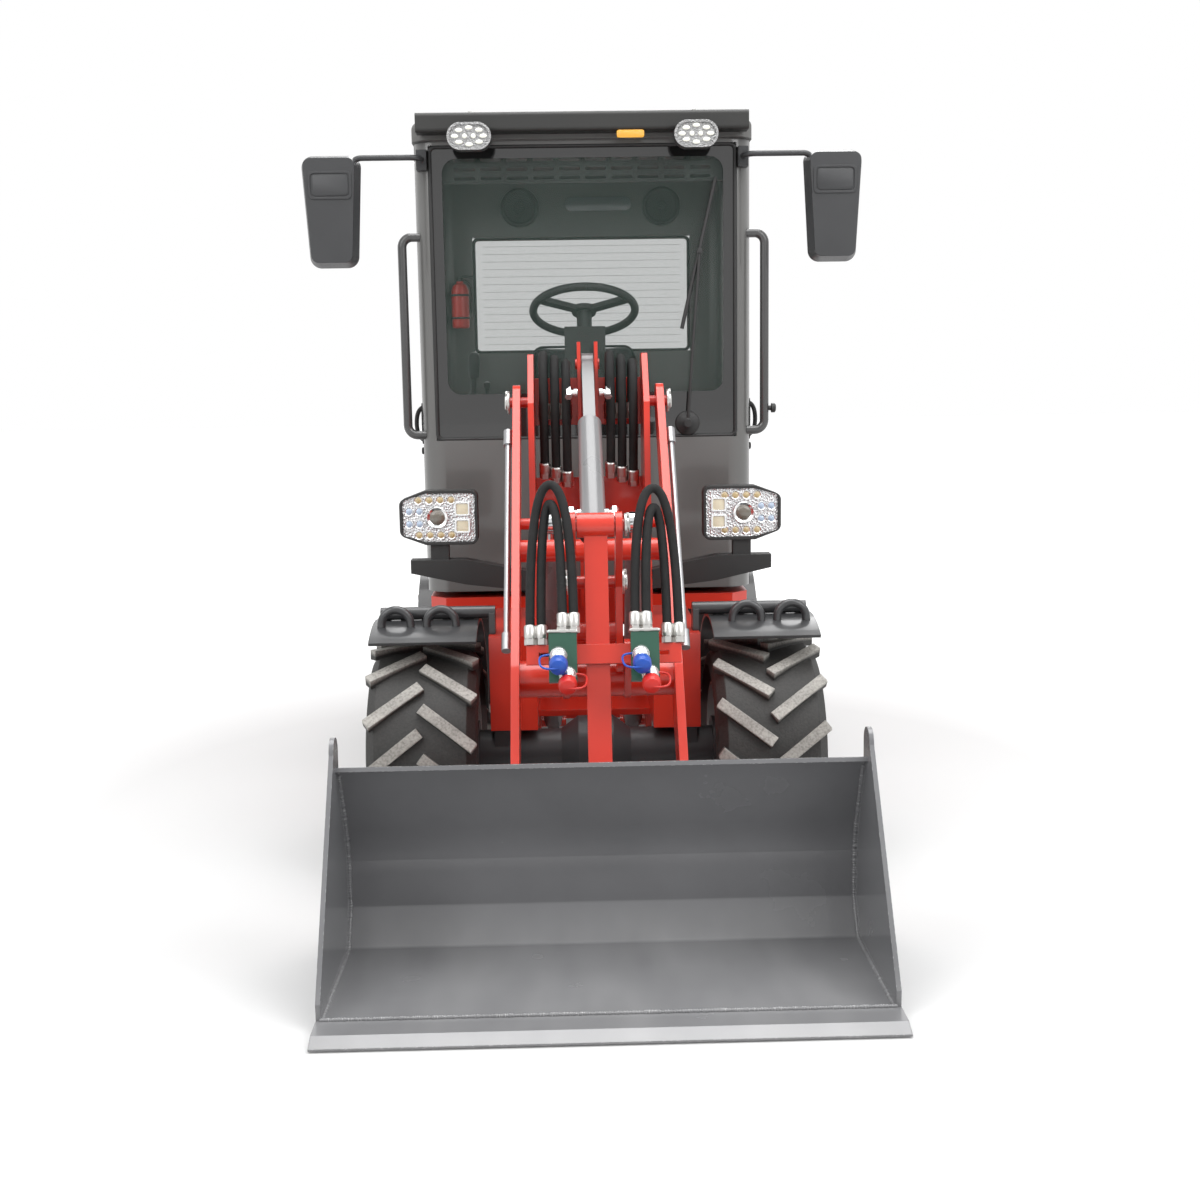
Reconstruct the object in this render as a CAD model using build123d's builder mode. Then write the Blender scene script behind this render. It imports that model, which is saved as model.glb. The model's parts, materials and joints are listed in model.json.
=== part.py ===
from build123d import *
from math import cos, hypot, radians, sin, sqrt
import os

os.makedirs("parts", exist_ok=True)

# Overall sizes, in millimetres
OVER_TYRES = 1400
WHEELBASE = 1650
FRONT_REACH = 2216
REAR_REACH = 1725
JOINT_Y = (FRONT_REACH - REAR_REACH) / 2
PIN_FIT = 0.05
GAP = 5


def fore(distance):
    """Y of a place ahead of the articulation axis."""
    return JOINT_Y - distance


def aft(distance):
    """Y of a place behind the articulation axis."""
    return JOINT_Y + distance


# Wheels
TYRE_R = 350
TYRE_W = 340
LUG_H = 26
LUG_W = 34
LUG_COUNT = 14
RIM_R = 205
RIM_T = 10
DISC_T = 14
SPINDLE_R = 45
WHEEL_X = (OVER_TYRES - TYRE_W) / 2
TYRE_IN = WHEEL_X - TYRE_W / 2
AXLE_Z = TYRE_R
FRONT_AXLE_Y = fore(WHEELBASE / 2)
REAR_AXLE_Y = aft(WHEELBASE / 2)
HUB_FACE = TYRE_IN + 35
AXLE_R = 65
DIFF_R = 105
DIFF_L = 110
PAD_Z = AXLE_Z + 80

# Articulation
PIVOT_R = 25
EAR_R = 60
EAR_T = 30
LOW_EAR = 330
HIGH_EAR = 600
NECK_W = 190
STEER_X = 200
STEER_Z = 480
STEER_BASE = (STEER_X, aft(430))
STEER_EYE = (STEER_X, fore(150))

# Hinges of doors and hood
HINGE_PIN_R = 8
KNUCKLE_R = 15
KNUCKLE_W = 40
STRAP_L = 55
STRAP_T = 12
DOOR_HINGE_OUT = 18
DOOR_HINGE_Z = (1000, 2050)

# Linkage points in the side view, as Y and Z
BOOM_PIVOT = (fore(400), 1440)
TILT_BASE = (fore(328), 1566)
ROD_PIN = (fore(1187), 937)
LEVER_PIVOT = (fore(1203), 720)
LINK_TOP = (fore(1277), 1112)
LINK_FOOT = (fore(1486), 433)
COUPLER_PIVOT = (fore(1443), 242)
BOOM_KNEE = (fore(1120), 640)
LIFT_BASE = (fore(330), 320)
LIFT_EYE = (fore(700), 1060)
BRACE_AT = (fore(789), 983)

# Arm sizes
ARM_X = 240
ARM_T = 25
TOWER_X = 182
TOWER_T = 20
LEVER_X = 66
LEVER_T = 20
LINK_W = 66
LINK_T = 22
PIN_R = 18
PIN_END = 6
CYLINDER_X = 140
LIFT_R = 33
TILT_R = 39
ROD_R = 20

# Bucket
BUCKET_W = 1400
SHEET = 12
FLOOR_Z = 4
EDGE_W = 120
EDGE_T = 20
BUCKET_BACK = fore(1556)
BUCKET_TOP = (fore(1672), 530)
BUCKET_BEND_Z = 290
HEEL_L = 70
HEEL_H = 100
SIDE_EAR = (fore(1708), 618)

# Cab
CAB_W = 1200
CAB_FRONT = fore(30)
CAB_REAR = aft(735)
CAB_CORNER = 85
CAB_WALL = 45
CAB_BASE = 746
CAB_TOP = 2350
ROOF_TOP = CAB_TOP + 70
FLOOR_T = 39
DOOR_FRONT = aft(45)
DOOR_REAR = aft(635)
DOOR_BASE = CAB_BASE + FLOOR_T + 10
DOOR_TOP = CAB_TOP - 65
GLASS_T = 6
SCREEN_W = CAB_W - 110
SCREEN_BASE = 1300
SCREEN_TOP = CAB_TOP - 15
REAR_GLASS_W = CAB_W - 320
REAR_GLASS_TOP = CAB_TOP - 270
REAR_GLASS_BASE = REAR_GLASS_TOP - 460

# Rear half
DECK_W = CAB_W - 20
DECK_Z = 665
DECK_T = 57
SIDE_X = 300
PLATE_T = 20
BODY_W = CAB_W - 80
HOOD_FRONT = aft(745)
HOOD_REAR = aft(1640)
HOOD_TOP = 1330
HOOD_END = 1220
HOOD_BASE = 765
HOOD_T = 15
HOOD_HINGE_X = BODY_W / 2 - 260
HOOD_HINGE = (HOOD_FRONT + 10, HOOD_TOP + KNUCKLE_R)
FENDER_T = 10
REAR_FENDER_R = TYRE_R + 50
FRONT_FENDER_R = TYRE_R + 75
FENDER_W = 328
FENDER_IN = TYRE_IN + 2

def unit(start, end):
    """Direction and length from one side-view point to another."""
    dy, dz = end[0] - start[0], end[1] - start[1]
    length = hypot(dy, dz)
    return dy / length, dz / length, length


def along(start, end, distance):
    """A side-view point at a distance from start towards end."""
    dy, dz, _ = unit(start, end)
    return start[0] + dy * distance, start[1] + dz * distance


def rod_plane(x, start, end):
    """A plane across a side-view line, with its normal from start to end."""
    dy, dz, _ = unit(start, end)
    return Plane(origin=(x, start[0], start[1]), x_dir=(1, 0, 0), z_dir=(0, dy, dz))


# Tyre: a carcass of revolution with staggered bar lugs
CARCASS_R = TYRE_R - LUG_H
half = TYRE_W / 2
LUG_LEAN = 38
LUG_LONG = 205
LUG_MID = 82
LUG_ROOT = 12
lug_reach = (LUG_LONG * sin(radians(LUG_LEAN)) + LUG_W * cos(radians(LUG_LEAN))) / 2
lug_top = sqrt(TYRE_R**2 - lug_reach**2)
with BuildPart() as tyre:
    with BuildSketch(Plane.XY):
        with BuildLine():
            Polyline(
                (-half + 15, RIM_R),
                (half - 15, RIM_R),
                (half, RIM_R + 55),
                (half - 6, CARCASS_R - 30),
                (half - 32, CARCASS_R),
                (-half + 32, CARCASS_R),
                (-half + 6, CARCASS_R - 30),
                (-half, RIM_R + 55),
                close=True,
            )
        make_face()
    revolve(axis=Axis.X)
    for side, start in ((1, 0), (-1, 180 / LUG_COUNT)):
        for step in range(LUG_COUNT):
            turn = start + step * 360 / LUG_COUNT
            spoke = Plane.XY.rotated((turn, 0, 0)).offset(CARCASS_R - LUG_ROOT)
            with BuildSketch(spoke):
                with Locations((side * LUG_MID, 0)):
                    Rectangle(LUG_LONG, LUG_W, rotation=side * LUG_LEAN)
                Rectangle(TYRE_W, TYRE_R, mode=Mode.INTERSECT)
            extrude(amount=lug_top - CARCASS_R + LUG_ROOT)

# Rim: a barrel with a dished disc
with BuildPart() as rim:
    with BuildSketch(Plane.XY):
        with BuildLine():
            Polyline(
                (-half + 15, RIM_R - RIM_T),
                (HUB_FACE + GAP - WHEEL_X, RIM_R - RIM_T),
                (HUB_FACE + GAP - WHEEL_X, SPINDLE_R + PIN_FIT),
                (HUB_FACE + GAP - WHEEL_X + DISC_T, SPINDLE_R + PIN_FIT),
                (HUB_FACE + GAP - WHEEL_X + DISC_T, RIM_R / 2),
                (HUB_FACE + GAP - WHEEL_X + DISC_T * 3, RIM_R - RIM_T - 25),
                (HUB_FACE + GAP - WHEEL_X + DISC_T * 3, RIM_R - RIM_T),
                (half - 15, RIM_R - RIM_T),
                (half - 15, RIM_R),
                (-half + 15, RIM_R),
                close=True,
            )
        make_face()
    revolve(axis=Axis.X)

for end, axle_y in (("front", FRONT_AXLE_Y), ("rear", REAR_AXLE_Y)):
    for hand, side in (("left", 1), ("right", -1)):
        turned = Rotation(0, 0, 0 if side > 0 else 180)
        place = Location((side * WHEEL_X, axle_y, AXLE_Z))
        with BuildPart() as wheel_tyre:
            add(tyre.part.moved(place * turned))
        wheel_tyre.part.label = f"{end}_{hand}_tyre"
        export_step(wheel_tyre.part, f"parts/{end}_{hand}_tyre.step")
        with BuildPart() as wheel_rim:
            add(rim.part.moved(place * turned))
        wheel_rim.part.label = f"{end}_{hand}_rim"
        export_step(wheel_rim.part, f"parts/{end}_{hand}_rim.step")

# Axles: a tube with a differential bowl, flanges, spindles and mounting pads
FLANGE_R = 95
FLANGE_T = 25
PAD_L = 120
PAD_W = 60
for end, axle_y in (("front", FRONT_AXLE_Y), ("rear", REAR_AXLE_Y)):
    with BuildPart() as axle:
        with BuildSketch(Plane.YZ.offset(-HUB_FACE)):
            with Locations((axle_y, AXLE_Z)):
                Circle(AXLE_R)
        extrude(amount=2 * HUB_FACE)
        with BuildSketch(Plane((0, axle_y, AXLE_Z))):
            with BuildLine():
                Polyline(
                    (-DIFF_L, 0),
                    (-DIFF_L, AXLE_R),
                    (-DIFF_L / 2, DIFF_R),
                    (DIFF_L / 2, DIFF_R),
                    (DIFF_L, AXLE_R),
                    (DIFF_L, 0),
                    close=True,
                )
            make_face()
        revolve(axis=Axis((0, axle_y, AXLE_Z), (1, 0, 0)))
        for side in (1, -1):
            with BuildSketch(Plane.YZ.offset(side * HUB_FACE)):
                with Locations((axle_y, AXLE_Z)):
                    Circle(FLANGE_R)
            extrude(amount=-side * FLANGE_T)
            with BuildSketch(Plane.YZ.offset(side * HUB_FACE)):
                with Locations((axle_y, AXLE_Z)):
                    Circle(SPINDLE_R)
            extrude(amount=side * (GAP + DISC_T + 20))
            with Locations((side * (SIDE_X - PLATE_T / 2), axle_y, (AXLE_Z + PAD_Z) / 2)):
                Box(PAD_W, PAD_L, PAD_Z - AXLE_Z)
    axle.part.label = f"{end}_axle"
    export_step(axle.part, f"parts/{end}_axle.step")

# Rear frame: pivot plates, side plates, a deck and the steering post
BOX_FRONT = aft(200)
BOX_STEP = aft(480)
FRAME_REAR = aft(1480)
HIGH_PLATE = HIGH_EAR + EAR_T + GAP
LOW_PLATE = LOW_EAR - GAP - EAR_T
DECK_FRONT = fore(20)
DECK_WIDE = aft(530)
DECK_REAR = aft(760)
POST_R = 16
with BuildPart() as rear_frame:
    for z in (LOW_PLATE, HIGH_PLATE):
        with BuildSketch(Plane.XY.offset(z)):
            with Locations((0, JOINT_Y)):
                Circle(EAR_R)
            with BuildLine():
                Polyline(
                    (EAR_R, JOINT_Y),
                    (SIDE_X, BOX_FRONT),
                    (SIDE_X, BOX_STEP),
                    (-SIDE_X, BOX_STEP),
                    (-SIDE_X, BOX_FRONT),
                    (-EAR_R, JOINT_Y),
                    close=True,
                )
            make_face()
        extrude(amount=EAR_T)
    for side in (1, -1):
        with BuildSketch(Plane.YZ.offset(side * SIDE_X)):
            with BuildLine():
                Polyline(
                    (BOX_FRONT, LOW_PLATE),
                    (BOX_STEP, LOW_PLATE),
                    (BOX_STEP + PLATE_T * 3, PAD_Z),
                    (FRAME_REAR, PAD_Z),
                    (FRAME_REAR, DECK_Z + DECK_T),
                    (BOX_FRONT, DECK_Z + DECK_T),
                    close=True,
                )
            make_face()
        extrude(amount=-side * PLATE_T)
    with BuildSketch(Plane.XY.offset(DECK_Z)):
        with BuildLine():
            Polyline(
                (DECK_W / 2 - 60, DECK_FRONT),
                (DECK_W / 2, DECK_FRONT + 60),
                (DECK_W / 2, DECK_WIDE),
                (SIDE_X, DECK_WIDE),
                (SIDE_X, DECK_REAR),
                (-SIDE_X, DECK_REAR),
                (-SIDE_X, DECK_WIDE),
                (-DECK_W / 2, DECK_WIDE),
                (-DECK_W / 2, DECK_FRONT + 60),
                (-DECK_W / 2 + 60, DECK_FRONT),
                close=True,
            )
        make_face()
    extrude(amount=DECK_T)
    with BuildSketch(Plane.XY.offset(LOW_PLATE)):
        with Locations((0, JOINT_Y)):
            Circle(PIVOT_R)
    extrude(amount=HIGH_PLATE + EAR_T - LOW_PLATE)
    with BuildSketch(Plane.XY.offset(LOW_PLATE)):
        with Locations(STEER_BASE):
            Circle(POST_R)
    extrude(amount=HIGH_PLATE + EAR_T - LOW_PLATE)
    with Locations((0, FRAME_REAR - PLATE_T / 2, (PAD_Z + DECK_Z + DECK_T) / 2)):
        Box(2 * SIDE_X, PLATE_T, DECK_Z + DECK_T - PAD_Z)
rear_frame.part.label = "rear_frame"
export_step(rear_frame.part, "parts/rear_frame.step")

# Engine: one plain block between the side plates
ENGINE_FRONT = aft(800)
ENGINE_REAR = aft(1440)
ENGINE_BASE = PAD_Z + 40
ENGINE_TOP = 1150
with BuildPart() as engine_block:
    with Locations((0, (ENGINE_FRONT + ENGINE_REAR) / 2, (ENGINE_BASE + ENGINE_TOP) / 2)):
        Box(2 * (SIDE_X - PLATE_T), ENGINE_REAR - ENGINE_FRONT, ENGINE_TOP - ENGINE_BASE)
engine_block.part.label = "engine_block"
export_step(engine_block.part, "parts/engine_block.step")

# Counterweight with a tow jaw
TAIL_T = 12
WEIGHT_REAR = aft(REAR_REACH - TAIL_T)
WEIGHT_BASE = 400
WEIGHT_TOP = HOOD_BASE - GAP
JAW_W = 130
JAW_H = 70
JAW_DEEP = 80
JAW_Z = 520
JAW_PIN_R = 16
with BuildPart() as counterweight:
    with BuildSketch(Plane.XY.offset(WEIGHT_BASE)):
        with BuildLine():
            Polyline(
                (-BODY_W / 2, FRAME_REAR),
                (-BODY_W / 2, WEIGHT_REAR - 120),
                (-BODY_W / 2 + 120, WEIGHT_REAR),
                (BODY_W / 2 - 120, WEIGHT_REAR),
                (BODY_W / 2, WEIGHT_REAR - 120),
                (BODY_W / 2, FRAME_REAR),
                close=True,
            )
        make_face()
    extrude(amount=WEIGHT_TOP - WEIGHT_BASE)
    with Locations((0, WEIGHT_REAR - JAW_DEEP / 2, JAW_Z)):
        Box(JAW_W, JAW_DEEP, JAW_H, mode=Mode.SUBTRACT)
    with BuildSketch(Plane.XY.offset(WEIGHT_BASE)):
        with Locations((0, WEIGHT_REAR - JAW_DEEP / 2)):
            Circle(JAW_PIN_R)
    extrude(amount=WEIGHT_TOP - WEIGHT_BASE, mode=Mode.SUBTRACT)
counterweight.part.label = "counterweight"
export_step(counterweight.part, "parts/counterweight.step")

# Engine hood: a shell open below, hinged at its front top edge, with an open rear for the grille
GRILLE_W = 760
GRILLE_BASE = 850
GRILLE_TOP = 1140
with BuildPart() as hood:
    with BuildSketch(Plane.YZ.offset(-BODY_W / 2)):
        with BuildLine():
            Polyline(
                (HOOD_FRONT, HOOD_BASE),
                (HOOD_FRONT, HOOD_TOP),
                (HOOD_REAR, HOOD_END),
                (HOOD_REAR, HOOD_BASE),
                close=True,
            )
        make_face()
    extrude(amount=BODY_W)
    top_edges = hood.edges().filter_by(Axis.Y, tolerance=15).sort_by(Axis.Z)[-2:]
    fillet(top_edges, 70)
    with BuildSketch(Plane.YZ.offset(-BODY_W / 2 + HOOD_T)):
        with BuildLine():
            Polyline(
                (HOOD_FRONT - HOOD_T, HOOD_BASE),
                (HOOD_FRONT - HOOD_T, HOOD_TOP - 75),
                (HOOD_REAR - 75, HOOD_END - 75),
                (HOOD_REAR - 75, HOOD_BASE),
                close=True,
            )
        make_face()
    extrude(amount=BODY_W - 2 * HOOD_T, mode=Mode.SUBTRACT)
    with Locations((0, HOOD_REAR, (GRILLE_BASE + GRILLE_TOP) / 2)):
        Box(GRILLE_W, 300, GRILLE_TOP - GRILLE_BASE, mode=Mode.SUBTRACT)
    for x in (HOOD_HINGE_X, -HOOD_HINGE_X):
        with BuildSketch(Plane.YZ.offset(x - KNUCKLE_W / 2)):
            with Locations(HOOD_HINGE):
                Circle(KNUCKLE_R)
            with Locations((HOOD_HINGE[0] + STRAP_L / 2, HOOD_HINGE[1] - KNUCKLE_R)):
                Rectangle(STRAP_L, 2 * KNUCKLE_R)
            with Locations(HOOD_HINGE):
                Circle(HINGE_PIN_R + PIN_FIT, mode=Mode.SUBTRACT)
        extrude(amount=KNUCKLE_W)
hood.part.label = "hood"
export_step(hood.part, "parts/hood.step")

# Radiator grille: a plate with rows of slots
SLAT_ROWS = 7
with BuildPart() as hood_grille:
    with Locations((0, HOOD_REAR - 45, (GRILLE_BASE + GRILLE_TOP) / 2)):
        Box(GRILLE_W, 30, GRILLE_TOP - GRILLE_BASE)
    slat_pitch = (GRILLE_TOP - GRILLE_BASE) / SLAT_ROWS
    with BuildSketch(Plane.XZ.offset(-HOOD_REAR)):
        with Locations((0, (GRILLE_BASE + GRILLE_TOP) / 2)):
            with GridLocations(GRILLE_W / 2, slat_pitch, 2, SLAT_ROWS):
                Rectangle(GRILLE_W / 2 - 40, slat_pitch * 0.55)
    extrude(amount=150, both=True, mode=Mode.SUBTRACT)
hood_grille.part.label = "hood_grille"
export_step(hood_grille.part, "parts/hood_grille.step")

# Step boxes: fuel tank on the left, tool box on the right
STEP_IN = SIDE_X
STEP_OUT = DECK_W / 2 - 5
STEP_BASE = 330
STEP_REAR = aft(400)
step_mid = (BOX_FRONT + STEP_REAR) / 2
TOE_Z = 500
TOE_W = 220
TOE_L = 170
TOE_H = 150
with BuildPart() as step_boxes:
    for side in (1, -1):
        with Locations((side * (STEP_IN + STEP_OUT) / 2, step_mid, (STEP_BASE + DECK_Z) / 2)):
            Box(STEP_OUT - STEP_IN, STEP_REAR - BOX_FRONT, DECK_Z - STEP_BASE)
        with Locations((side * STEP_OUT, step_mid, TOE_Z)):
            Box(TOE_W, TOE_L, TOE_H, mode=Mode.SUBTRACT)
step_boxes.part.label = "step_boxes"
export_step(step_boxes.part, "parts/step_boxes.step")

# Rear fenders: arcs over the rear tyres
with BuildPart() as rear_fenders:
    for inner_x in (SIDE_X, -FENDER_IN - FENDER_W):
        with BuildSketch(Plane.YZ.offset(inner_x)):
            with Locations((REAR_AXLE_Y, AXLE_Z)):
                Circle(REAR_FENDER_R)
                Circle(REAR_FENDER_R - FENDER_T, mode=Mode.SUBTRACT)
                with Locations((0, -REAR_FENDER_R + 60)):
                    Rectangle(3 * REAR_FENDER_R, 2 * REAR_FENDER_R, mode=Mode.SUBTRACT)
        extrude(amount=FENDER_IN + FENDER_W - SIDE_X)
rear_fenders.part.label = "rear_fenders"
export_step(rear_fenders.part, "parts/rear_fenders.step")

# Cab walls: a rounded ring cut into a front and a rear wall, with the windows open
cab_mid = (CAB_FRONT + CAB_REAR) / 2
cab_deep = CAB_REAR - CAB_FRONT
FRONT_SPLIT = DOOR_FRONT - GAP
REAR_SPLIT = DOOR_REAR + GAP
with BuildPart() as cab_ring:
    with BuildSketch(Plane.XY.offset(CAB_BASE)):
        with Locations((0, cab_mid)):
            RectangleRounded(CAB_W, cab_deep, CAB_CORNER)
            inner_w = CAB_W - 2 * CAB_WALL
            RectangleRounded(inner_w, cab_deep - 2 * CAB_WALL, CAB_CORNER - CAB_WALL, mode=Mode.SUBTRACT)
    extrude(amount=CAB_TOP - CAB_BASE)
    with Locations((0, CAB_FRONT, (SCREEN_BASE + SCREEN_TOP) / 2)):
        Box(SCREEN_W, 2 * CAB_WALL, SCREEN_TOP - SCREEN_BASE, mode=Mode.SUBTRACT)
    with Locations((0, CAB_REAR, (REAR_GLASS_BASE + REAR_GLASS_TOP) / 2)):
        Box(REAR_GLASS_W, 2 * CAB_WALL, REAR_GLASS_TOP - REAR_GLASS_BASE, mode=Mode.SUBTRACT)

with BuildPart() as cab_front:
    add(cab_ring.part)
    split(bisect_by=Plane.XZ.offset(-FRONT_SPLIT), keep=Keep.TOP)
cab_front.part.label = "cab_front"
export_step(cab_front.part, "parts/cab_front.step")

DOOR_HINGE_Y = (DOOR_REAR + REAR_SPLIT) / 2
with BuildPart() as cab_rear:
    add(cab_ring.part)
    split(bisect_by=Plane.XZ.offset(-REAR_SPLIT), keep=Keep.BOTTOM)
    for side in (1, -1):
        hinge_x = side * (CAB_W / 2 + DOOR_HINGE_OUT)
        for z in DOOR_HINGE_Z:
            with BuildSketch(Plane.XY.offset(z - KNUCKLE_W)):
                with Locations((hinge_x, DOOR_HINGE_Y)):
                    Circle(KNUCKLE_R)
                with Locations((side * (CAB_W / 2 + STRAP_T / 2), DOOR_HINGE_Y + STRAP_L / 2)):
                    Rectangle(STRAP_T, STRAP_L)
            extrude(amount=KNUCKLE_W / 2 - 1)
            with BuildSketch(Plane.XY.offset(z - KNUCKLE_W)):
                with Locations((hinge_x, DOOR_HINGE_Y)):
                    Circle(HINGE_PIN_R)
            extrude(amount=2 * KNUCKLE_W)
        with BuildSketch(Plane.YZ.offset(side * HOOD_HINGE_X - KNUCKLE_W)):
            with Locations(HOOD_HINGE):
                Circle(HINGE_PIN_R)
        extrude(amount=2 * KNUCKLE_W)
        for x in (side * HOOD_HINGE_X - KNUCKLE_W, side * HOOD_HINGE_X + KNUCKLE_W / 2 + 1):
            with BuildSketch(Plane.YZ.offset(x)):
                with Locations(HOOD_HINGE):
                    Circle(KNUCKLE_R)
                with Locations(((CAB_REAR + HOOD_HINGE[0]) / 2 - 1, HOOD_HINGE[1])):
                    Rectangle(HOOD_HINGE[0] - CAB_REAR + 2, 2 * KNUCKLE_R)
            extrude(amount=KNUCKLE_W / 2 - 1)
cab_rear.part.label = "cab_rear"
export_step(cab_rear.part, "parts/cab_rear.step")

with BuildPart() as cab_glass:
    with Locations((0, CAB_FRONT + 15, (SCREEN_BASE + SCREEN_TOP) / 2)):
        Box(SCREEN_W, GLASS_T, SCREEN_TOP - SCREEN_BASE)
    with Locations((0, CAB_REAR - 15, (REAR_GLASS_BASE + REAR_GLASS_TOP) / 2)):
        Box(REAR_GLASS_W, GLASS_T, REAR_GLASS_TOP - REAR_GLASS_BASE)
cab_glass.part.label = "cab_glass"
export_step(cab_glass.part, "parts/cab_glass.step")

# Cab floor on four rubber mounts
MOUNT_R = 40
with BuildPart() as cab_floor:
    with Locations((0, (FRONT_SPLIT + REAR_SPLIT) / 2, CAB_BASE + FLOOR_T / 2)):
        Box(CAB_W, REAR_SPLIT - FRONT_SPLIT, FLOOR_T)
    with BuildSketch(Plane.XY.offset(DECK_Z + DECK_T)):
        with Locations((0, (FRONT_SPLIT + DECK_WIDE) / 2)):
            with GridLocations(2 * SIDE_X - 4 * MOUNT_R, DECK_WIDE - FRONT_SPLIT - 4 * MOUNT_R, 2, 2):
                Circle(MOUNT_R)
    extrude(amount=CAB_BASE - DECK_Z - DECK_T)
cab_floor.part.label = "cab_floor"
export_step(cab_floor.part, "parts/cab_floor.step")

# Cab roof with the rails above the doors
ROOF_FRONT = CAB_FRONT - 30
ROOF_REAR = CAB_REAR + 25
with BuildPart() as cab_roof:
    with BuildSketch(Plane.XY.offset(CAB_TOP)):
        with Locations((0, (ROOF_FRONT + ROOF_REAR) / 2)):
            RectangleRounded(CAB_W + 10, ROOF_REAR - ROOF_FRONT, CAB_CORNER)
    extrude(amount=ROOF_TOP - CAB_TOP)
    fillet(cab_roof.faces().sort_by(Axis.Z)[-1].edges(), 25)
    for side in (1, -1):
        rail_x = side * (CAB_W - CAB_WALL) / 2
        with Locations((rail_x, (FRONT_SPLIT + REAR_SPLIT) / 2, (DOOR_TOP + GAP + CAB_TOP) / 2)):
            Box(CAB_WALL, REAR_SPLIT - FRONT_SPLIT, CAB_TOP - DOOR_TOP - GAP)
cab_roof.part.label = "cab_roof"
export_step(cab_roof.part, "parts/cab_roof.step")

# Visor bar across the front of the roof
VISOR_W = CAB_W - 44
VISOR_D = 70
VISOR_BASE = CAB_TOP + 15
VISOR_H = 67
VISOR_FRONT = ROOF_FRONT - VISOR_D
with BuildPart() as roof_visor:
    with Locations((0, ROOF_FRONT - VISOR_D / 2, VISOR_BASE + VISOR_H / 2)):
        Box(VISOR_W, VISOR_D, VISOR_H)
    fillet(roof_visor.edges().filter_by(Axis.X).group_by(Axis.Y)[0], 14)
roof_visor.part.label = "roof_visor"
export_step(roof_visor.part, "parts/roof_visor.step")

# Work lamps: oval, two in front under the visor, two behind under the roof, and two tail lamps
WORK_X = CAB_W / 2 - 210
WORK_W = 152
WORK_H = 92
WORK_D = 50
WORK_UP = 24
TAIL_W = 110
TAIL_H = 60
TAIL_X = BODY_W / 2 - 130
TAIL_Z = 690
with BuildPart() as work_lamps:
    for x in (WORK_X, -WORK_X):
        with BuildSketch(Plane.XZ.offset(-VISOR_FRONT)):
            with Locations((x, VISOR_BASE + WORK_UP - WORK_H / 2)):
                SlotOverall(WORK_W, WORK_H)
        extrude(amount=WORK_D)
        with BuildSketch(Plane.XZ.offset(-CAB_REAR)):
            with Locations((x, CAB_TOP - 15 - WORK_H / 2)):
                SlotOverall(WORK_W, WORK_H)
        extrude(amount=-WORK_D)
        tail_x = TAIL_X if x > 0 else -TAIL_X
        with Locations((tail_x, WEIGHT_REAR + TAIL_T / 2, TAIL_Z)):
            Box(TAIL_W, TAIL_T, TAIL_H)
work_lamps.part.label = "work_lamps"
export_step(work_lamps.part, "parts/work_lamps.step")

# Mirrors on bent arms
MIRROR_X = CAB_W / 2 + 280
MIRROR_Y = fore(103)
MIRROR_Z = CAB_TOP - 244
MIRROR_W = 212
MIRROR_FOOT_W = 168
MIRROR_H = 384
MIRROR_ROUND = 40
MIRROR_TAPER = 12
MIRROR_D = 70
MIRROR_ARM_R = 10
MIRROR_ARM_Z = CAB_TOP - 65
CLAMP_X = CAB_W / 2 - 32
CLAMP_W = 36
CLAMP_D = 60
CLAMP_H = 70
with BuildPart() as mirrors:
    for side in (1, -1):
        with BuildSketch(Plane.XZ.offset(-MIRROR_Y - MIRROR_D / 2)) as mirror_outline:
            with BuildLine():
                Polyline(
                    (side * MIRROR_X - MIRROR_W / 2, MIRROR_Z + MIRROR_H / 2),
                    (side * MIRROR_X + MIRROR_W / 2, MIRROR_Z + MIRROR_H / 2),
                    (side * MIRROR_X + MIRROR_FOOT_W / 2, MIRROR_Z - MIRROR_H / 2),
                    (side * MIRROR_X - MIRROR_FOOT_W / 2, MIRROR_Z - MIRROR_H / 2),
                    close=True,
                )
            make_face()
            fillet(mirror_outline.vertices(), MIRROR_ROUND)
        extrude(amount=MIRROR_D, taper=MIRROR_TAPER)
        with BuildLine() as arm_line:
            FilletPolyline(
                (side * CLAMP_X, CAB_FRONT + CAB_WALL, MIRROR_ARM_Z),
                (side * CLAMP_X, MIRROR_Y, MIRROR_ARM_Z),
                (side * (MIRROR_X - 70), MIRROR_Y, MIRROR_ARM_Z),
                (side * (MIRROR_X - 70), MIRROR_Y, MIRROR_Z + 60),
                radius=4 * MIRROR_ARM_R,
            )
        with BuildSketch(Plane(origin=arm_line.line @ 0, z_dir=arm_line.line % 0)):
            Circle(MIRROR_ARM_R)
        sweep(path=arm_line.line)
        with Locations((side * CLAMP_X, CAB_FRONT + CLAMP_D / 4, MIRROR_ARM_Z)):
            Box(CLAMP_W, CLAMP_D, CLAMP_H)
    add(cab_ring.part, mode=Mode.SUBTRACT)
mirrors.part.label = "mirrors"
export_step(mirrors.part, "parts/mirrors.step")

# Grab rails beside the windscreen
RAIL_R = 16
RAIL_X = CAB_W / 2 + 52
RAIL_BASE = 1320
RAIL_TOP = 2025
RAIL_Y = DOOR_FRONT - GAP - RAIL_R - 4
with BuildPart() as grab_rails:
    for side in (1, -1):
        with BuildLine() as rail_line:
            FilletPolyline(
                (side * (CAB_W / 2 - CAB_WALL / 2), RAIL_Y, RAIL_BASE),
                (side * RAIL_X, RAIL_Y, RAIL_BASE),
                (side * RAIL_X, RAIL_Y, RAIL_TOP),
                (side * (CAB_W / 2 - CAB_WALL / 2), RAIL_Y, RAIL_TOP),
                radius=2.2 * RAIL_R,
            )
        with BuildSketch(Plane(origin=rail_line.line @ 0, z_dir=rail_line.line % 0)):
            Circle(RAIL_R)
        sweep(path=rail_line.line)
    add(cab_ring.part, mode=Mode.SUBTRACT)
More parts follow.
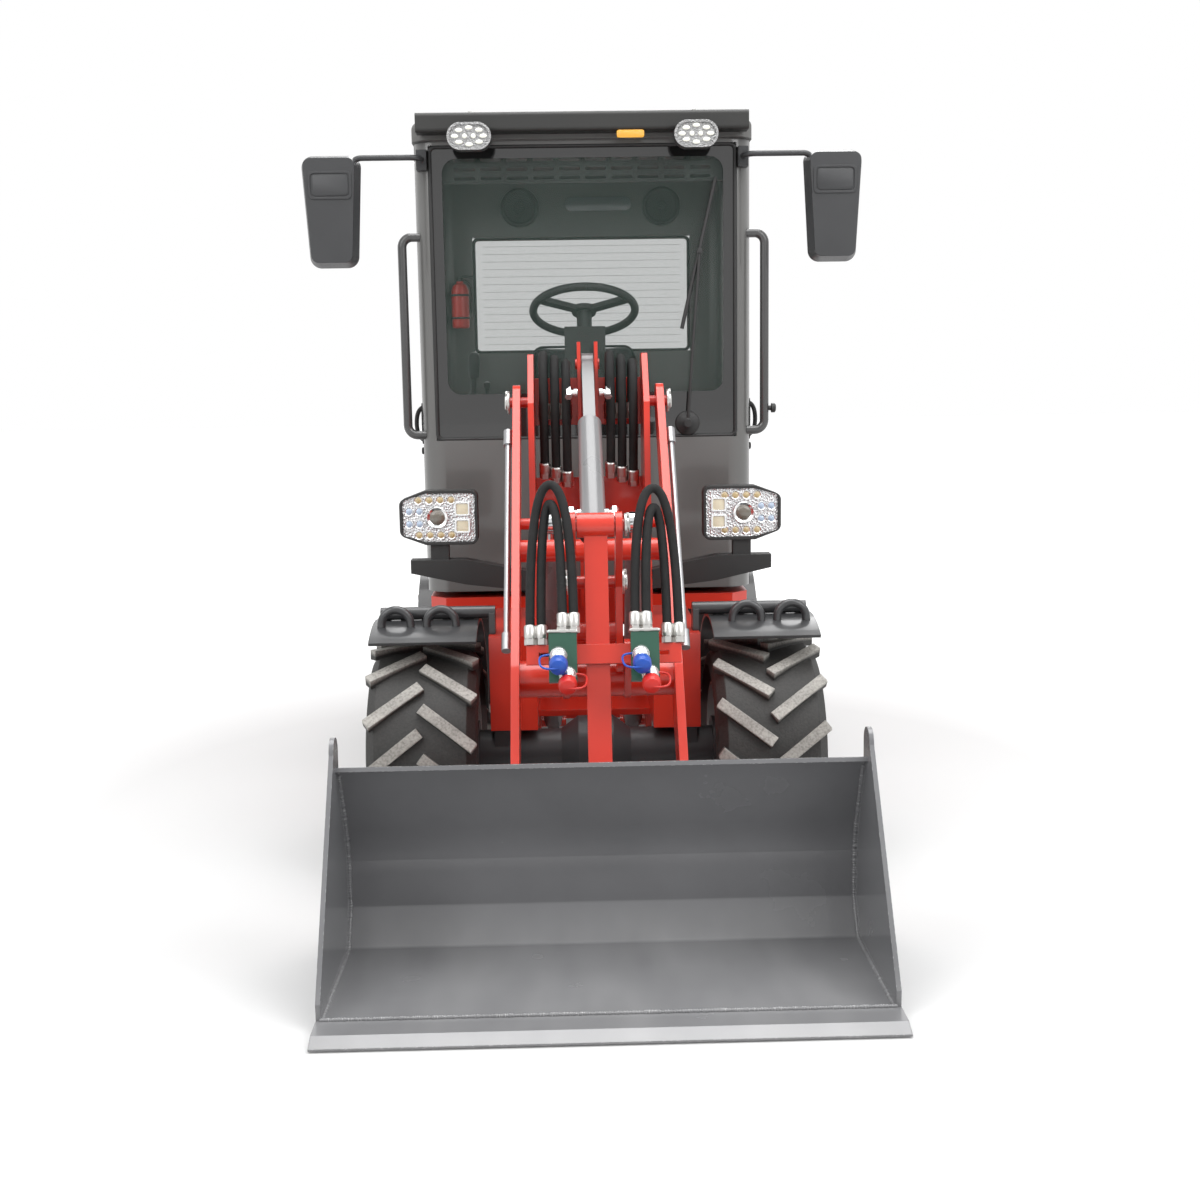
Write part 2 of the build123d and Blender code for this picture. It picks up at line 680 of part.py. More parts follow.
grab_rails.part.label = "grab_rails"
export_step(grab_rails.part, "parts/grab_rails.step")

# Doors: frames as thick as the wall, with an upper and a lower pane
PANE_SIDE = 60
PANE_SPLIT = 1150
PANE_RAIL = 50
for hand, side in (("left", 1), ("right", -1)):
    door_x = side * (CAB_W - CAB_WALL) / 2
    door_mid = (DOOR_FRONT + DOOR_REAR) / 2
    pane_w = DOOR_REAR - DOOR_FRONT - 2 * PANE_SIDE
    panes = ((DOOR_BASE + PANE_SIDE, PANE_SPLIT), (PANE_SPLIT + PANE_RAIL, DOOR_TOP - PANE_SIDE))
    with BuildPart() as door:
        with Locations((door_x, door_mid, (DOOR_BASE + DOOR_TOP) / 2)):
            Box(CAB_WALL, DOOR_REAR - DOOR_FRONT, DOOR_TOP - DOOR_BASE)
        for low, high in panes:
            with Locations((door_x, door_mid, (low + high) / 2)):
                Box(CAB_WALL, pane_w, high - low, mode=Mode.SUBTRACT)
        for z in DOOR_HINGE_Z:
            with BuildSketch(Plane.XY.offset(z - KNUCKLE_W / 2)):
                with Locations((side * (CAB_W / 2 + DOOR_HINGE_OUT), DOOR_HINGE_Y)):
                    Circle(KNUCKLE_R)
                with Locations((side * (CAB_W / 2 + STRAP_T / 2), DOOR_HINGE_Y - STRAP_L / 2)):
                    Rectangle(STRAP_T, STRAP_L)
                with Locations((side * (CAB_W / 2 + DOOR_HINGE_OUT), DOOR_HINGE_Y)):
                    Circle(HINGE_PIN_R + PIN_FIT, mode=Mode.SUBTRACT)
            extrude(amount=KNUCKLE_W)
    door.part.label = f"door_{hand}"
    export_step(door.part, f"parts/door_{hand}.step")
    with BuildPart() as door_glass:
        for low, high in panes:
            with Locations((door_x, door_mid, (low + high) / 2)):
                Box(GLASS_T, pane_w, high - low)
    door_glass.part.label = f"door_glass_{hand}"
    export_step(door_glass.part, f"parts/door_glass_{hand}.step")

# Seat on its pedestal
SEAT_Y = aft(470)
SEAT_W = CAB_W - 740
SEAT_L = 420
SEAT_Z = 1180
CUSHION_T = 130
BACK_T = 110
BACK_TOP = 1655
with BuildPart() as seat_cushion:
    with Locations((0, SEAT_Y, SEAT_Z + CUSHION_T / 2)):
        Box(SEAT_W, SEAT_L, CUSHION_T)
    fillet(seat_cushion.edges().filter_by(Axis.Z), 50)
seat_cushion.part.label = "seat_cushion"
export_step(seat_cushion.part, "parts/seat_cushion.step")
with BuildPart() as seat_back:
    with Locations((0, SEAT_Y + SEAT_L / 2 - BACK_T / 2, (SEAT_Z + CUSHION_T + BACK_TOP) / 2)):
        Box(SEAT_W - 20, BACK_T, BACK_TOP - SEAT_Z - CUSHION_T)
    fillet(seat_back.edges().filter_by(Axis.Y), 50)
seat_back.part.label = "seat_back"
export_step(seat_back.part, "parts/seat_back.step")

# Steering column and wheel
COLUMN_FOOT = (aft(120), CAB_BASE + FLOOR_T)
WHEEL_HUB = (aft(200), 1765)
WHEEL_RING_R = 190
WHEEL_TUBE_R = 15
COLUMN_W = 150
SPOKE_T = 10
wheel_plane = Plane(origin=(0, WHEEL_HUB[0], WHEEL_HUB[1]), x_dir=(1, 0, 0), z_dir=(0, 0.42, 0.91))
HEADLINER_T = 45
HEADLINER_W = CAB_W - 2 * CAB_CORNER
BAND_H = 95
BAND_T = 20
SLOT_ROWS = 3
SLOT_COUNT = 10
CONSOLE_W = 190
CONSOLE_X = CAB_W / 2 - CAB_WALL - CONSOLE_W / 2 - 30
CONSOLE_TOP = 1420
floor_top = CAB_BASE + FLOOR_T
inner_front = CAB_FRONT + CAB_WALL
inner_rear = CAB_REAR - CAB_WALL
with BuildPart() as cab_trim:
    with Locations((0, SEAT_Y, (floor_top + SEAT_Z) / 2)):
        Box(SEAT_W - 80, SEAT_L - 60, SEAT_Z - floor_top)
    with BuildSketch(Plane.YZ.offset(-COLUMN_W / 2)):
        with BuildLine():
            Polyline(
                (COLUMN_FOOT[0] - 60, COLUMN_FOOT[1]),
                (COLUMN_FOOT[0] + 60, COLUMN_FOOT[1]),
                (WHEEL_HUB[0] + 20, WHEEL_HUB[1] - 60),
                (WHEEL_HUB[0] - 110, WHEEL_HUB[1] - 60),
                close=True,
            )
        make_face()
    extrude(amount=COLUMN_W)
    with BuildSketch(wheel_plane.offset(-SPOKE_T)):
        Circle(28)
    extrude(amount=-70)
    with Locations((0, (inner_front + inner_rear) / 2, CAB_TOP - HEADLINER_T / 2)):
        Box(HEADLINER_W, inner_rear - inner_front, HEADLINER_T)
    with Locations((0, inner_front + BAND_T / 2, CAB_TOP - HEADLINER_T - BAND_H / 2)):
        Box(HEADLINER_W, BAND_T, BAND_H)
    with BuildSketch(Plane.XZ.offset(-inner_front)):
        with Locations((0, CAB_TOP - HEADLINER_T - BAND_H / 2)):
            with GridLocations(HEADLINER_W / (SLOT_COUNT + 1), BAND_H / SLOT_ROWS, SLOT_COUNT, SLOT_ROWS):
                SlotOverall(HEADLINER_W / (SLOT_COUNT + 1) * 0.8, BAND_H / SLOT_ROWS * 0.4)
    extrude(amount=-BAND_T, mode=Mode.SUBTRACT)
    with Locations((-CONSOLE_X, SEAT_Y - 60, (floor_top + CONSOLE_TOP) / 2)):
        Box(CONSOLE_W, SEAT_L - 40, CONSOLE_TOP - floor_top)
cab_trim.part.label = "cab_trim"
export_step(cab_trim.part, "parts/cab_trim.step")
with BuildPart() as steering_wheel:
    with BuildSketch(Plane(origin=wheel_plane.origin, x_dir=wheel_plane.x_dir, z_dir=-wheel_plane.y_dir)):
        with Locations((WHEEL_RING_R, 0)):
            Circle(WHEEL_TUBE_R)
    revolve(axis=Axis(wheel_plane.origin, wheel_plane.z_dir))
    with BuildSketch(wheel_plane):
        Circle(45)
        with PolarLocations(0, 3, start_angle=90):
            with Locations((WHEEL_RING_R / 2, 0)):
                Rectangle(WHEEL_RING_R, 30)
    extrude(amount=SPOKE_T, both=True)
steering_wheel.part.label = "steering_wheel"
export_step(steering_wheel.part, "parts/steering_wheel.step")

# Front frame: neck, pivot ears, box, tower plates and pins
BOX_X = 330
FRONT_BOX_REAR = fore(330)
FRONT_BOX_FRONT = fore(900)
BOX_BEND = fore(500)
FRONT_BOX_BASE = PAD_Z
FRONT_BOX_TOP = 730
NECK_REAR = fore(110)
TOWER_REAR = fore(290)
TOWER_FRONT = fore(560)
TOWER_TOP = 1600
WEB_X = 23
WEB_T = 12
WEB_TOP = 1640
CROSS_PLATES = (FRONT_BOX_TOP + 20, 1100, 1440)
CROSS_PLATE_H = 160
STEER_EAR_R = 35
STEER_EAR_T = 20
with BuildPart() as front_frame:
    with BuildSketch(Plane.XY.offset(LOW_EAR)):
        with Locations((0, JOINT_Y)):
            Circle(EAR_R)
        with Locations((0, (JOINT_Y + FRONT_BOX_REAR) / 2)):
            Rectangle(2 * EAR_R, JOINT_Y - FRONT_BOX_REAR)
    extrude(amount=EAR_T)
    with BuildSketch(Plane.XY.offset(HIGH_EAR)):
        with Locations((0, JOINT_Y)):
            Circle(EAR_R)
        with Locations((0, (JOINT_Y + FRONT_BOX_REAR) / 2)):
            Rectangle(2 * EAR_R, JOINT_Y - FRONT_BOX_REAR)
    extrude(amount=EAR_T)
    with Locations((0, (NECK_REAR + FRONT_BOX_REAR) / 2, (LOW_EAR + HIGH_EAR + EAR_T) / 2)):
        Box(NECK_W, NECK_REAR - FRONT_BOX_REAR, HIGH_EAR + EAR_T - LOW_EAR)
    with Locations((0, (FRONT_BOX_REAR + FRONT_BOX_FRONT) / 2, (FRONT_BOX_BASE + FRONT_BOX_TOP) / 2)):
        Box(2 * BOX_X, FRONT_BOX_REAR - FRONT_BOX_FRONT, FRONT_BOX_TOP - FRONT_BOX_BASE)
        Box(
            2 * (TOWER_X),
            FRONT_BOX_REAR - FRONT_BOX_FRONT + 2,
            FRONT_BOX_TOP - FRONT_BOX_BASE,
            mode=Mode.SUBTRACT,
        )
    with Locations((0, (FRONT_BOX_REAR + FRONT_BOX_FRONT) / 2, FRONT_BOX_BASE + PLATE_T / 2)):
        Box(2 * BOX_X, 200, PLATE_T)
    for side in (1, -1):
        with BuildSketch(Plane.YZ.offset(side * TOWER_X)):
            with BuildLine():
                Polyline(
                    (TOWER_REAR, LIFT_BASE[1] - 50),
                    (TOWER_REAR, TOWER_TOP),
                    (TOWER_REAR - 90, TOWER_TOP),
                    (TOWER_FRONT + 60, BOOM_PIVOT[1]),
                    (TOWER_FRONT, FRONT_BOX_TOP),
                    (FRONT_BOX_FRONT, FRONT_BOX_TOP),
                    (FRONT_BOX_FRONT, FRONT_BOX_BASE),
                    (BOX_BEND, FRONT_BOX_BASE),
                    (LIFT_BASE[0] - 60, LIFT_BASE[1] - 50),
                    close=True,
                )
            make_face()
        extrude(amount=side * TOWER_T)
        with BuildSketch(Plane.YZ.offset(side * WEB_X)):
            with BuildLine():
                Polyline(
                    (TOWER_REAR, FRONT_BOX_TOP),
                    (TOWER_REAR, WEB_TOP),
                    (TILT_BASE[0] - 50, WEB_TOP),
                    (TILT_BASE[0] - 50, BOOM_PIVOT[1] - 60),
                    (TOWER_REAR - 60, FRONT_BOX_TOP),
                    close=True,
                )
            make_face()
        extrude(amount=side * WEB_T)
        with BuildSketch(Plane.YZ.offset(side * (TOWER_X + TOWER_T))):
            with Locations(BOOM_PIVOT):
                Circle(PIN_R)
        extrude(amount=side * (ARM_X + ARM_T - TOWER_X - TOWER_T))
        with BuildSketch(Plane.YZ.offset(side * NECK_W / 2)):
            with Locations(LIFT_BASE):
                Circle(PIN_R)
        extrude(amount=side * (TOWER_X - NECK_W / 2))
    for z in CROSS_PLATES:
        with Locations((0, TOWER_REAR - 10, z)):
            Box(2 * TOWER_X, PLATE_T, CROSS_PLATE_H)
    with BuildSketch(Plane.XY.offset(LOW_EAR)):
        with Locations((0, JOINT_Y)):
            Circle(PIVOT_R + PIN_FIT)
    extrude(amount=HIGH_EAR + EAR_T - LOW_EAR, mode=Mode.SUBTRACT)
    with BuildSketch(Plane.YZ.offset(-WEB_X - WEB_T - PIN_END)):
        with Locations(TILT_BASE):
            Circle(PIN_R)
    extrude(amount=2 * (WEB_X + WEB_T + PIN_END))
    with BuildSketch(Plane.XY.offset(STEER_Z + 30)):
        with Locations(STEER_EYE):
            Circle(STEER_EAR_R)
        with Locations((STEER_X / 2, STEER_EYE[1])):
            Rectangle(STEER_X, 2 * STEER_EAR_R)
    extrude(amount=STEER_EAR_T)
front_frame.part.label = "front_frame"
export_step(front_frame.part, "parts/front_frame.step")

# Front fenders on a cross tube
TUBE_R = 20
TUBE_AT = (FRONT_AXLE_Y, AXLE_Z + FRONT_FENDER_R + TUBE_R + 2)
POST_T = 20
RIB_COUNT = 5
RIB_W = 34
RIB_H = 7
with BuildPart() as front_fenders:
    for start_x in (FENDER_IN, -FENDER_IN - FENDER_W):
        with BuildSketch(Plane.YZ.offset(start_x)):
            with Locations((FRONT_AXLE_Y, AXLE_Z)):
                Circle(FRONT_FENDER_R)
                Circle(FRONT_FENDER_R - FENDER_T, mode=Mode.SUBTRACT)
            lip = radians(90 + 25)
            with BuildLine():
                Polyline(
                    (FRONT_AXLE_Y, AXLE_Z),
                    (FRONT_AXLE_Y + 3 * FRONT_FENDER_R * cos(lip), AXLE_Z + 3 * FRONT_FENDER_R * sin(lip)),
                    (FRONT_AXLE_Y - 3 * FRONT_FENDER_R, AXLE_Z - 2 * FRONT_FENDER_R),
                    (FRONT_AXLE_Y + 2 * FRONT_FENDER_R, AXLE_Z - 2 * FRONT_FENDER_R),
                    (FRONT_AXLE_Y + 2 * FRONT_FENDER_R, AXLE_Z),
                    close=True,
                )
            make_face(mode=Mode.SUBTRACT)
        extrude(amount=FENDER_W)
        for step in range(RIB_COUNT):
            rib_x = start_x + FENDER_W * (step + 0.5) / RIB_COUNT - RIB_W / 2
            with BuildSketch(Plane.YZ.offset(rib_x)):
                with Locations((FRONT_AXLE_Y, AXLE_Z)):
                    Circle(FRONT_FENDER_R + RIB_H)
                    Circle(FRONT_FENDER_R - 1, mode=Mode.SUBTRACT)
                    with Locations((FRONT_FENDER_R, FRONT_FENDER_R)):
                        Rectangle(2 * FRONT_FENDER_R, 2 * FRONT_FENDER_R, mode=Mode.INTERSECT)
            extrude(amount=RIB_W)
    for side in (1, -1):
        with BuildSketch(Plane.YZ.offset(side * (BOX_X - POST_T))):
            with Locations(TUBE_AT):
                Circle(TUBE_R)
        extrude(amount=side * (FENDER_IN + FENDER_W - BOX_X))
        with Locations((side * (BOX_X - POST_T / 2), TUBE_AT[0], (FRONT_BOX_TOP + TUBE_AT[1]) / 2)):
            Box(POST_T, 60, TUBE_AT[1] - FRONT_BOX_TOP)
front_fenders.part.label = "front_fenders"
export_step(front_fenders.part, "parts/front_fenders.step")

# Headlamps on box brackets
LAMP_AT = (503, fore(520), 1070)
LAMP_W = 258
LAMP_H = 180
LAMP_D = 60
LAMP_RIM = 9
LAMP_TAPER = 32
LAMP_ROUND = 24
LAMP_POCKET = 10
with BuildPart() as headlamps:
    for side in (1, -1):
        lamp_face = Plane(
            origin=(side * LAMP_AT[0], LAMP_AT[1] - LAMP_D / 2, LAMP_AT[2]),
            x_dir=(side, 0, 0),
            z_dir=(0, -side, 0),
        )
        for rim, deep in ((0, LAMP_D), (LAMP_RIM, LAMP_POCKET)):
            with BuildSketch(lamp_face) as lamp_outline:
                with BuildLine():
                    Polyline(
                        (-LAMP_W / 2 + rim, -LAMP_H / 2 + rim),
                        (-LAMP_W / 2 + rim, LAMP_H / 2 - rim),
                        (LAMP_W / 6, LAMP_H / 2 - rim),
                        (LAMP_W / 2 - rim, LAMP_H / 2 - LAMP_TAPER),
                        (LAMP_W / 2 - rim, -LAMP_H / 2 + LAMP_TAPER),
                        (LAMP_W / 6, -LAMP_H / 2 + rim),
                        close=True,
                    )
                make_face()
                fillet(lamp_outline.vertices(), LAMP_ROUND - rim)
            extrude(amount=-side * deep, mode=Mode.SUBTRACT if rim else Mode.ADD)
headlamps.part.label = "headlamps"
export_step(headlamps.part, "parts/headlamps.step")
BRACKET_D = 60
BRACKET_END = LAMP_AT[0] + 97
BRACKET_BEND = LAMP_AT[0] - 83
BRACKET_TOP = LAMP_AT[2] - LAMP_H / 2 - 50
BRACKET_H = 44
bracket_root = TOWER_X + TOWER_T
with BuildPart() as lamp_brackets:
    for side in (1, -1):
        with BuildSketch(Plane.XZ.offset(-LAMP_AT[1] - BRACKET_D / 2)):
            with BuildLine():
                Polyline(
                    (side * bracket_root, BRACKET_TOP - BRACKET_H),
                    (side * bracket_root, BRACKET_TOP - 2.5 * BRACKET_H),
                    (side * BRACKET_BEND, BRACKET_TOP - 1.9 * BRACKET_H),
                    (side * BRACKET_END, BRACKET_TOP - BRACKET_H),
                    (side * BRACKET_END, BRACKET_TOP),
                    (side * BRACKET_BEND, BRACKET_TOP),
                    close=True,
                )
            make_face()
        extrude(amount=BRACKET_D)
        with Locations((side * LAMP_AT[0], LAMP_AT[1], (BRACKET_TOP + LAMP_AT[2] - LAMP_H / 2) / 2)):
            Box(BRACKET_D, BRACKET_D - 20, LAMP_AT[2] - LAMP_H / 2 - BRACKET_TOP)
lamp_brackets.part.label = "lamp_brackets"
export_step(lamp_brackets.part, "parts/lamp_brackets.step")

# Boom: two arms, a brace, a knee tube, lever ears and pin stubs
PIVOT_BOSS = 58
KNEE_R = 78
END_R = 52
KNEE_TUBE_R = 55
BRACE_R = 35
EAR_TIP_R = 50
EAR_ROOT_R = 60
EAR_X = LEVER_X + LEVER_T / 2 + 4
CHEEK_IN = ARM_X - ARM_T / 2 - GAP
CHEEK_OUT = ARM_X + ARM_T / 2 + GAP
CHEEK_T = 12
with BuildPart() as boom:
    for side in (1, -1):
        start_x = side * (ARM_X - ARM_T / 2)
        for first, first_r, last, last_r in (
            (BOOM_PIVOT, PIVOT_BOSS, BOOM_KNEE, KNEE_R),
            (BOOM_KNEE, KNEE_R, COUPLER_PIVOT, END_R),
        ):
            with BuildSketch(Plane.YZ.offset(start_x)):
                with Locations(first):
                    Circle(first_r)
                with Locations(last):
                    Circle(last_r)
                make_hull()
            extrude(amount=side * ARM_T)
        with BuildSketch(Plane.YZ.offset(start_x)):
            with Locations(LIFT_EYE):
                Circle(PIN_R)
        extrude(amount=-side * (ARM_X - ARM_T / 2 - CYLINDER_X - 22))
        with BuildSketch(Plane.YZ.offset(side * EAR_X)):
            with Locations(LEVER_PIVOT):
                Circle(EAR_TIP_R)
            with Locations(BOOM_KNEE):
                Circle(EAR_ROOT_R)
            make_hull()
        extrude(amount=side * PLATE_T)
    for place, radius in ((BOOM_KNEE, KNEE_TUBE_R), (BRACE_AT, BRACE_R)):
        with BuildSketch(Plane.YZ.offset(-ARM_X)):
            with Locations(place):
                Circle(radius)
        extrude(amount=2 * ARM_X)
    with BuildSketch(Plane.YZ.offset(-2 * ARM_X)):
        with Locations(BOOM_PIVOT):
            Circle(PIN_R + PIN_FIT)
    extrude(amount=4 * ARM_X, mode=Mode.SUBTRACT)
    with BuildSketch(Plane.YZ.offset(-EAR_X - PLATE_T - PIN_END)):
        with Locations(LEVER_PIVOT):
            Circle(PIN_R)
    extrude(amount=2 * (EAR_X + PLATE_T + PIN_END))
    for side in (1, -1):
        with BuildSketch(Plane.YZ.offset(side * (CHEEK_IN - CHEEK_T - PIN_END))):
            with Locations(COUPLER_PIVOT):
                Circle(PIN_R)
        extrude(amount=side * (CHEEK_OUT - CHEEK_IN + 2 * CHEEK_T + 2 * PIN_END))
boom.part.label = "boom"
export_step(boom.part, "parts/boom.step")

# Lever: two plates with bosses, joined by a tube, with the pin of the link
LINK_BOSS = 38
LEVER_BOSS = 46
LEVER_TUBE_R = 28
ROD_CLEAR = 30
LEVER_TUBE = along(LEVER_PIVOT, ROD_PIN, 72)
with BuildPart() as lever:
    for side in (1, -1):
        with BuildSketch(Plane.YZ.offset(side * (LEVER_X - LEVER_T / 2))):
            with Locations(LEVER_PIVOT):
                Circle(LEVER_BOSS)
            with Locations(ROD_PIN):
                Circle(LEVER_BOSS)
            make_hull()
        extrude(amount=side * LEVER_T)
        with BuildSketch(Plane.YZ.offset(side * (LEVER_X - LEVER_T / 2))):
            with Locations(ROD_PIN):
                Circle(LEVER_BOSS)
            with Locations(LINK_TOP):
                Circle(LINK_BOSS)
            make_hull()
        extrude(amount=side * LEVER_T)
        with BuildSketch(Plane.YZ.offset(side * (LEVER_X + LEVER_T / 2))):
            with Locations(ROD_PIN):
                Circle(PIN_R)
        extrude(amount=-side * (LEVER_X + LEVER_T / 2 - ROD_CLEAR))
    with BuildSketch(Plane.YZ.offset(-LEVER_X)):
        with Locations(LEVER_TUBE):
            Circle(LEVER_TUBE_R)
    extrude(amount=2 * LEVER_X)
    with BuildSketch(Plane.YZ.offset(-ARM_X)):
        with Locations(LEVER_PIVOT):
            Circle(PIN_R + PIN_FIT)
    extrude(amount=2 * ARM_X, mode=Mode.SUBTRACT)
    with BuildSketch(Plane.YZ.offset(-LEVER_X - LEVER_T / 2 - PIN_END)):
        with Locations(LINK_TOP):
            Circle(PIN_R)
    extrude(amount=2 * LEVER_X + LEVER_T + 2 * PIN_END)
lever.part.label = "lever"
export_step(lever.part, "parts/lever.step")

# Link: a flat bar with an eye tube at the top, an eye at the foot and the coupler bar across it
LINK_TUBE_W = 2 * (LEVER_X - LEVER_T / 2) - 6
FOOT_W = 56
FOOT_R = 30
BAR_AT = 0.518
BAR_X = 16
BAR_W = 430
BAR_H = 55
BAR_T = 15
link_long = unit(LINK_TOP, LINK_FOOT)[2]
link_plane = rod_plane(0, LINK_TOP, LINK_FOOT)
with BuildPart() as link:
    with BuildSketch(Plane.YZ.offset(-LINK_TUBE_W / 2)):
        with Locations(LINK_TOP):
            Circle(LINK_BOSS - 3)
    extrude(amount=LINK_TUBE_W)
    with BuildSketch(link_plane):
        Rectangle(LINK_W, LINK_T)
    extrude(amount=link_long - FOOT_R + LINK_T)
    with BuildSketch(Plane.YZ.offset(-FOOT_W / 2)):
        with Locations(LINK_FOOT):
            Circle(FOOT_R)
    extrude(amount=FOOT_W)
    with BuildSketch(link_plane.offset(link_long * BAR_AT - BAR_H / 2)):
        with Locations((BAR_X, (LINK_T + BAR_T) / 2 - 1)):
            Rectangle(BAR_W, BAR_T)
    extrude(amount=BAR_H)
    with BuildSketch(Plane.YZ.offset(-LINK_TUBE_W)):
        with Locations(LINK_TOP):
            Circle(PIN_R + PIN_FIT)
    extrude(amount=2 * LINK_TUBE_W, mode=Mode.SUBTRACT)
    with BuildSketch(link_plane.offset(link_long * BAR_AT)):
        with Locations((BAR_X, (LINK_T + BAR_T) / 2 - 1)):
            with GridLocations(BAR_W - 2 * BAR_H, BAR_T, 2, 1):
                Rectangle(BAR_H * 0.75, 3 * BAR_T)
    extrude(amount=6, both=True, mode=Mode.SUBTRACT)
link.part.label = "link"
export_step(link.part, "parts/link.step")

# Coupler blocks on the coupler bar, each with two hydraulic couplers
BLOCK_X = (-98, 128)
BLOCK_W = 78
BLOCK_H = 135
BLOCK_D = 45
NOSE_R = 19
NOSE_L = 85
bar_face = (LINK_T + BAR_T) / 2 - 1 + BAR_T / 2
with BuildPart() as coupler_blocks:
    for x in BLOCK_X:
        with BuildSketch(link_plane.offset(link_long * BAR_AT - BAR_H)):
            with Locations((x, bar_face + BLOCK_D / 2)):
                Rectangle(BLOCK_W, BLOCK_D)
        extrude(amount=BLOCK_H)
        for down, lean in ((0.42, -12), (0.82, 12)):
            nose_at = link_plane.offset(link_long * BAR_AT - BAR_H + down * BLOCK_H)
            nose = Plane(
                origin=nose_at.from_local_coords((x + lean, bar_face + BLOCK_D - 4, 0)),
                x_dir=(1, 0, 0),
                z_dir=nose_at.y_dir * 0.85 + nose_at.z_dir * 0.53,
            )
            with BuildSketch(nose):
                Circle(NOSE_R)
            extrude(amount=NOSE_L)
coupler_blocks.part.label = "coupler_blocks"
export_step(coupler_blocks.part, "parts/coupler_blocks.step")

# Quick coupler: four cheeks on the arm ends, two cross tubes and ears for the link
TOP_TUBE = (fore(1588), 440)
LOW_TUBE = (fore(1528), 150)
CROSS_R = 25
LINK_EAR_X = FOOT_W / 2 + 6
PAD_X = 140
CHEEK_R = 45
LINK_EAR_R = 32
LINK_EAR_T = 16
with BuildPart() as quick_coupler:
    for side in (1, -1):
        for cheek in (CHEEK_IN - CHEEK_T, CHEEK_OUT):
            start_x = cheek if side > 0 else -cheek - CHEEK_T
            for tube in (TOP_TUBE, LOW_TUBE):
                with BuildSketch(Plane.YZ.offset(start_x)):
                    with Locations(COUPLER_PIVOT):
                        Circle(CHEEK_R)
                    with Locations(tube):
                        Circle(CROSS_R)
                    make_hull()
                extrude(amount=CHEEK_T)
        with BuildSketch(Plane.YZ.offset(side * LINK_EAR_X)):
            with Locations(LINK_FOOT):
                Circle(LINK_EAR_R)
            with Locations(TOP_TUBE):
                Circle(CROSS_R)
            make_hull()
        extrude(amount=side * LINK_EAR_T)
    for place in (TOP_TUBE, LOW_TUBE):
        with BuildSketch(Plane.YZ.offset(-CHEEK_OUT - CHEEK_T)):
            with Locations(place):
                Circle(CROSS_R)
        extrude(amount=2 * (CHEEK_OUT + CHEEK_T))
    with Locations((0, (BUCKET_BACK + LOW_TUBE[0]) / 2, LOW_TUBE[1])):
        with GridLocations(2 * PAD_X, PAD_W, 2, 1):
            Box(PAD_W, LOW_TUBE[0] - BUCKET_BACK, 2 * CROSS_R)
    with BuildSketch(Plane.YZ.offset(-2 * ARM_X)):
        with Locations(COUPLER_PIVOT):
            Circle(PIN_R + PIN_FIT)
    extrude(amount=4 * ARM_X, mode=Mode.SUBTRACT)
quick_coupler.part.label = "quick_coupler"
export_step(quick_coupler.part, "parts/quick_coupler.step")

# Bucket: a bent sheet, two side plates and a cutting edge
EDGE_TIP = fore(FRONT_REACH)
EDGE_BACK = EDGE_TIP + EDGE_W
SIDE_T = 12
shell_w = BUCKET_W - 2 * SIDE_T
LIP_END = (BUCKET_TOP[0] - 50, BUCKET_TOP[1] + 12)
BEND_R = 25
BACK_CURVE_R = 220
EAR_ROUND = 38
HOOK_X = 292
HOOK_T = 15
with BuildPart() as bucket_shell:
    with BuildSketch(Plane.YZ.offset(-shell_w / 2)):
        with BuildLine():
            FilletPolyline(
                (EDGE_BACK, FLOOR_Z),
                (BUCKET_BACK - HEEL_L, FLOOR_Z),
                (BUCKET_BACK, FLOOR_Z + HEEL_H),
                (BUCKET_BACK, BUCKET_BEND_Z),
                BUCKET_TOP,
                LIP_END,
                radius=(BEND_R, BEND_R, BACK_CURVE_R, BEND_R),
            )
            offset(amount=SHEET, side=Side.LEFT)
        make_face()
    extrude(amount=shell_w)
bucket_shell.part.label = "bucket_shell"
export_step(bucket_shell.part, "parts/bucket_shell.step")

# Hook plates: they carry the bucket on the coupler's top tube
hook_foot = along((BUCKET_BACK, BUCKET_BEND_Z), BUCKET_TOP, 60)
hook_head = along((BUCKET_BACK, BUCKET_BEND_Z), BUCKET_TOP, 215)
with BuildPart() as bucket_hooks:
    for x in (HOOK_X, -HOOK_X - HOOK_T):
        with BuildSketch(Plane.YZ.offset(x)):
            with BuildLine():
                Polyline(
                    hook_foot,
                    (hook_foot[0] + 70, hook_foot[1] - 10),
                    (TOP_TUBE[0] + 2 * CROSS_R, TOP_TUBE[1]),
                    (TOP_TUBE[0] + CROSS_R, TOP_TUBE[1] + 2 * CROSS_R),
                    hook_head,
                    close=True,
                )
            make_face()
        extrude(amount=HOOK_T)
bucket_hooks.part.label = "bucket_hooks"
export_step(bucket_hooks.part, "parts/bucket_hooks.step")

with BuildPart() as cutting_edge:
    with BuildSketch(Plane.YZ.offset(-BUCKET_W / 2)):
        with BuildLine():
            Polyline(
                (EDGE_TIP, FLOOR_Z),
                (EDGE_BACK, FLOOR_Z),
                (EDGE_BACK, FLOOR_Z + EDGE_T),
                (EDGE_TIP + 40, FLOOR_Z + EDGE_T),
                (EDGE_TIP, FLOOR_Z + 5),
                close=True,
            )
        make_face()
    extrude(amount=BUCKET_W)
cutting_edge.part.label = "cutting_edge"
export_step(cutting_edge.part, "parts/cutting_edge.step")

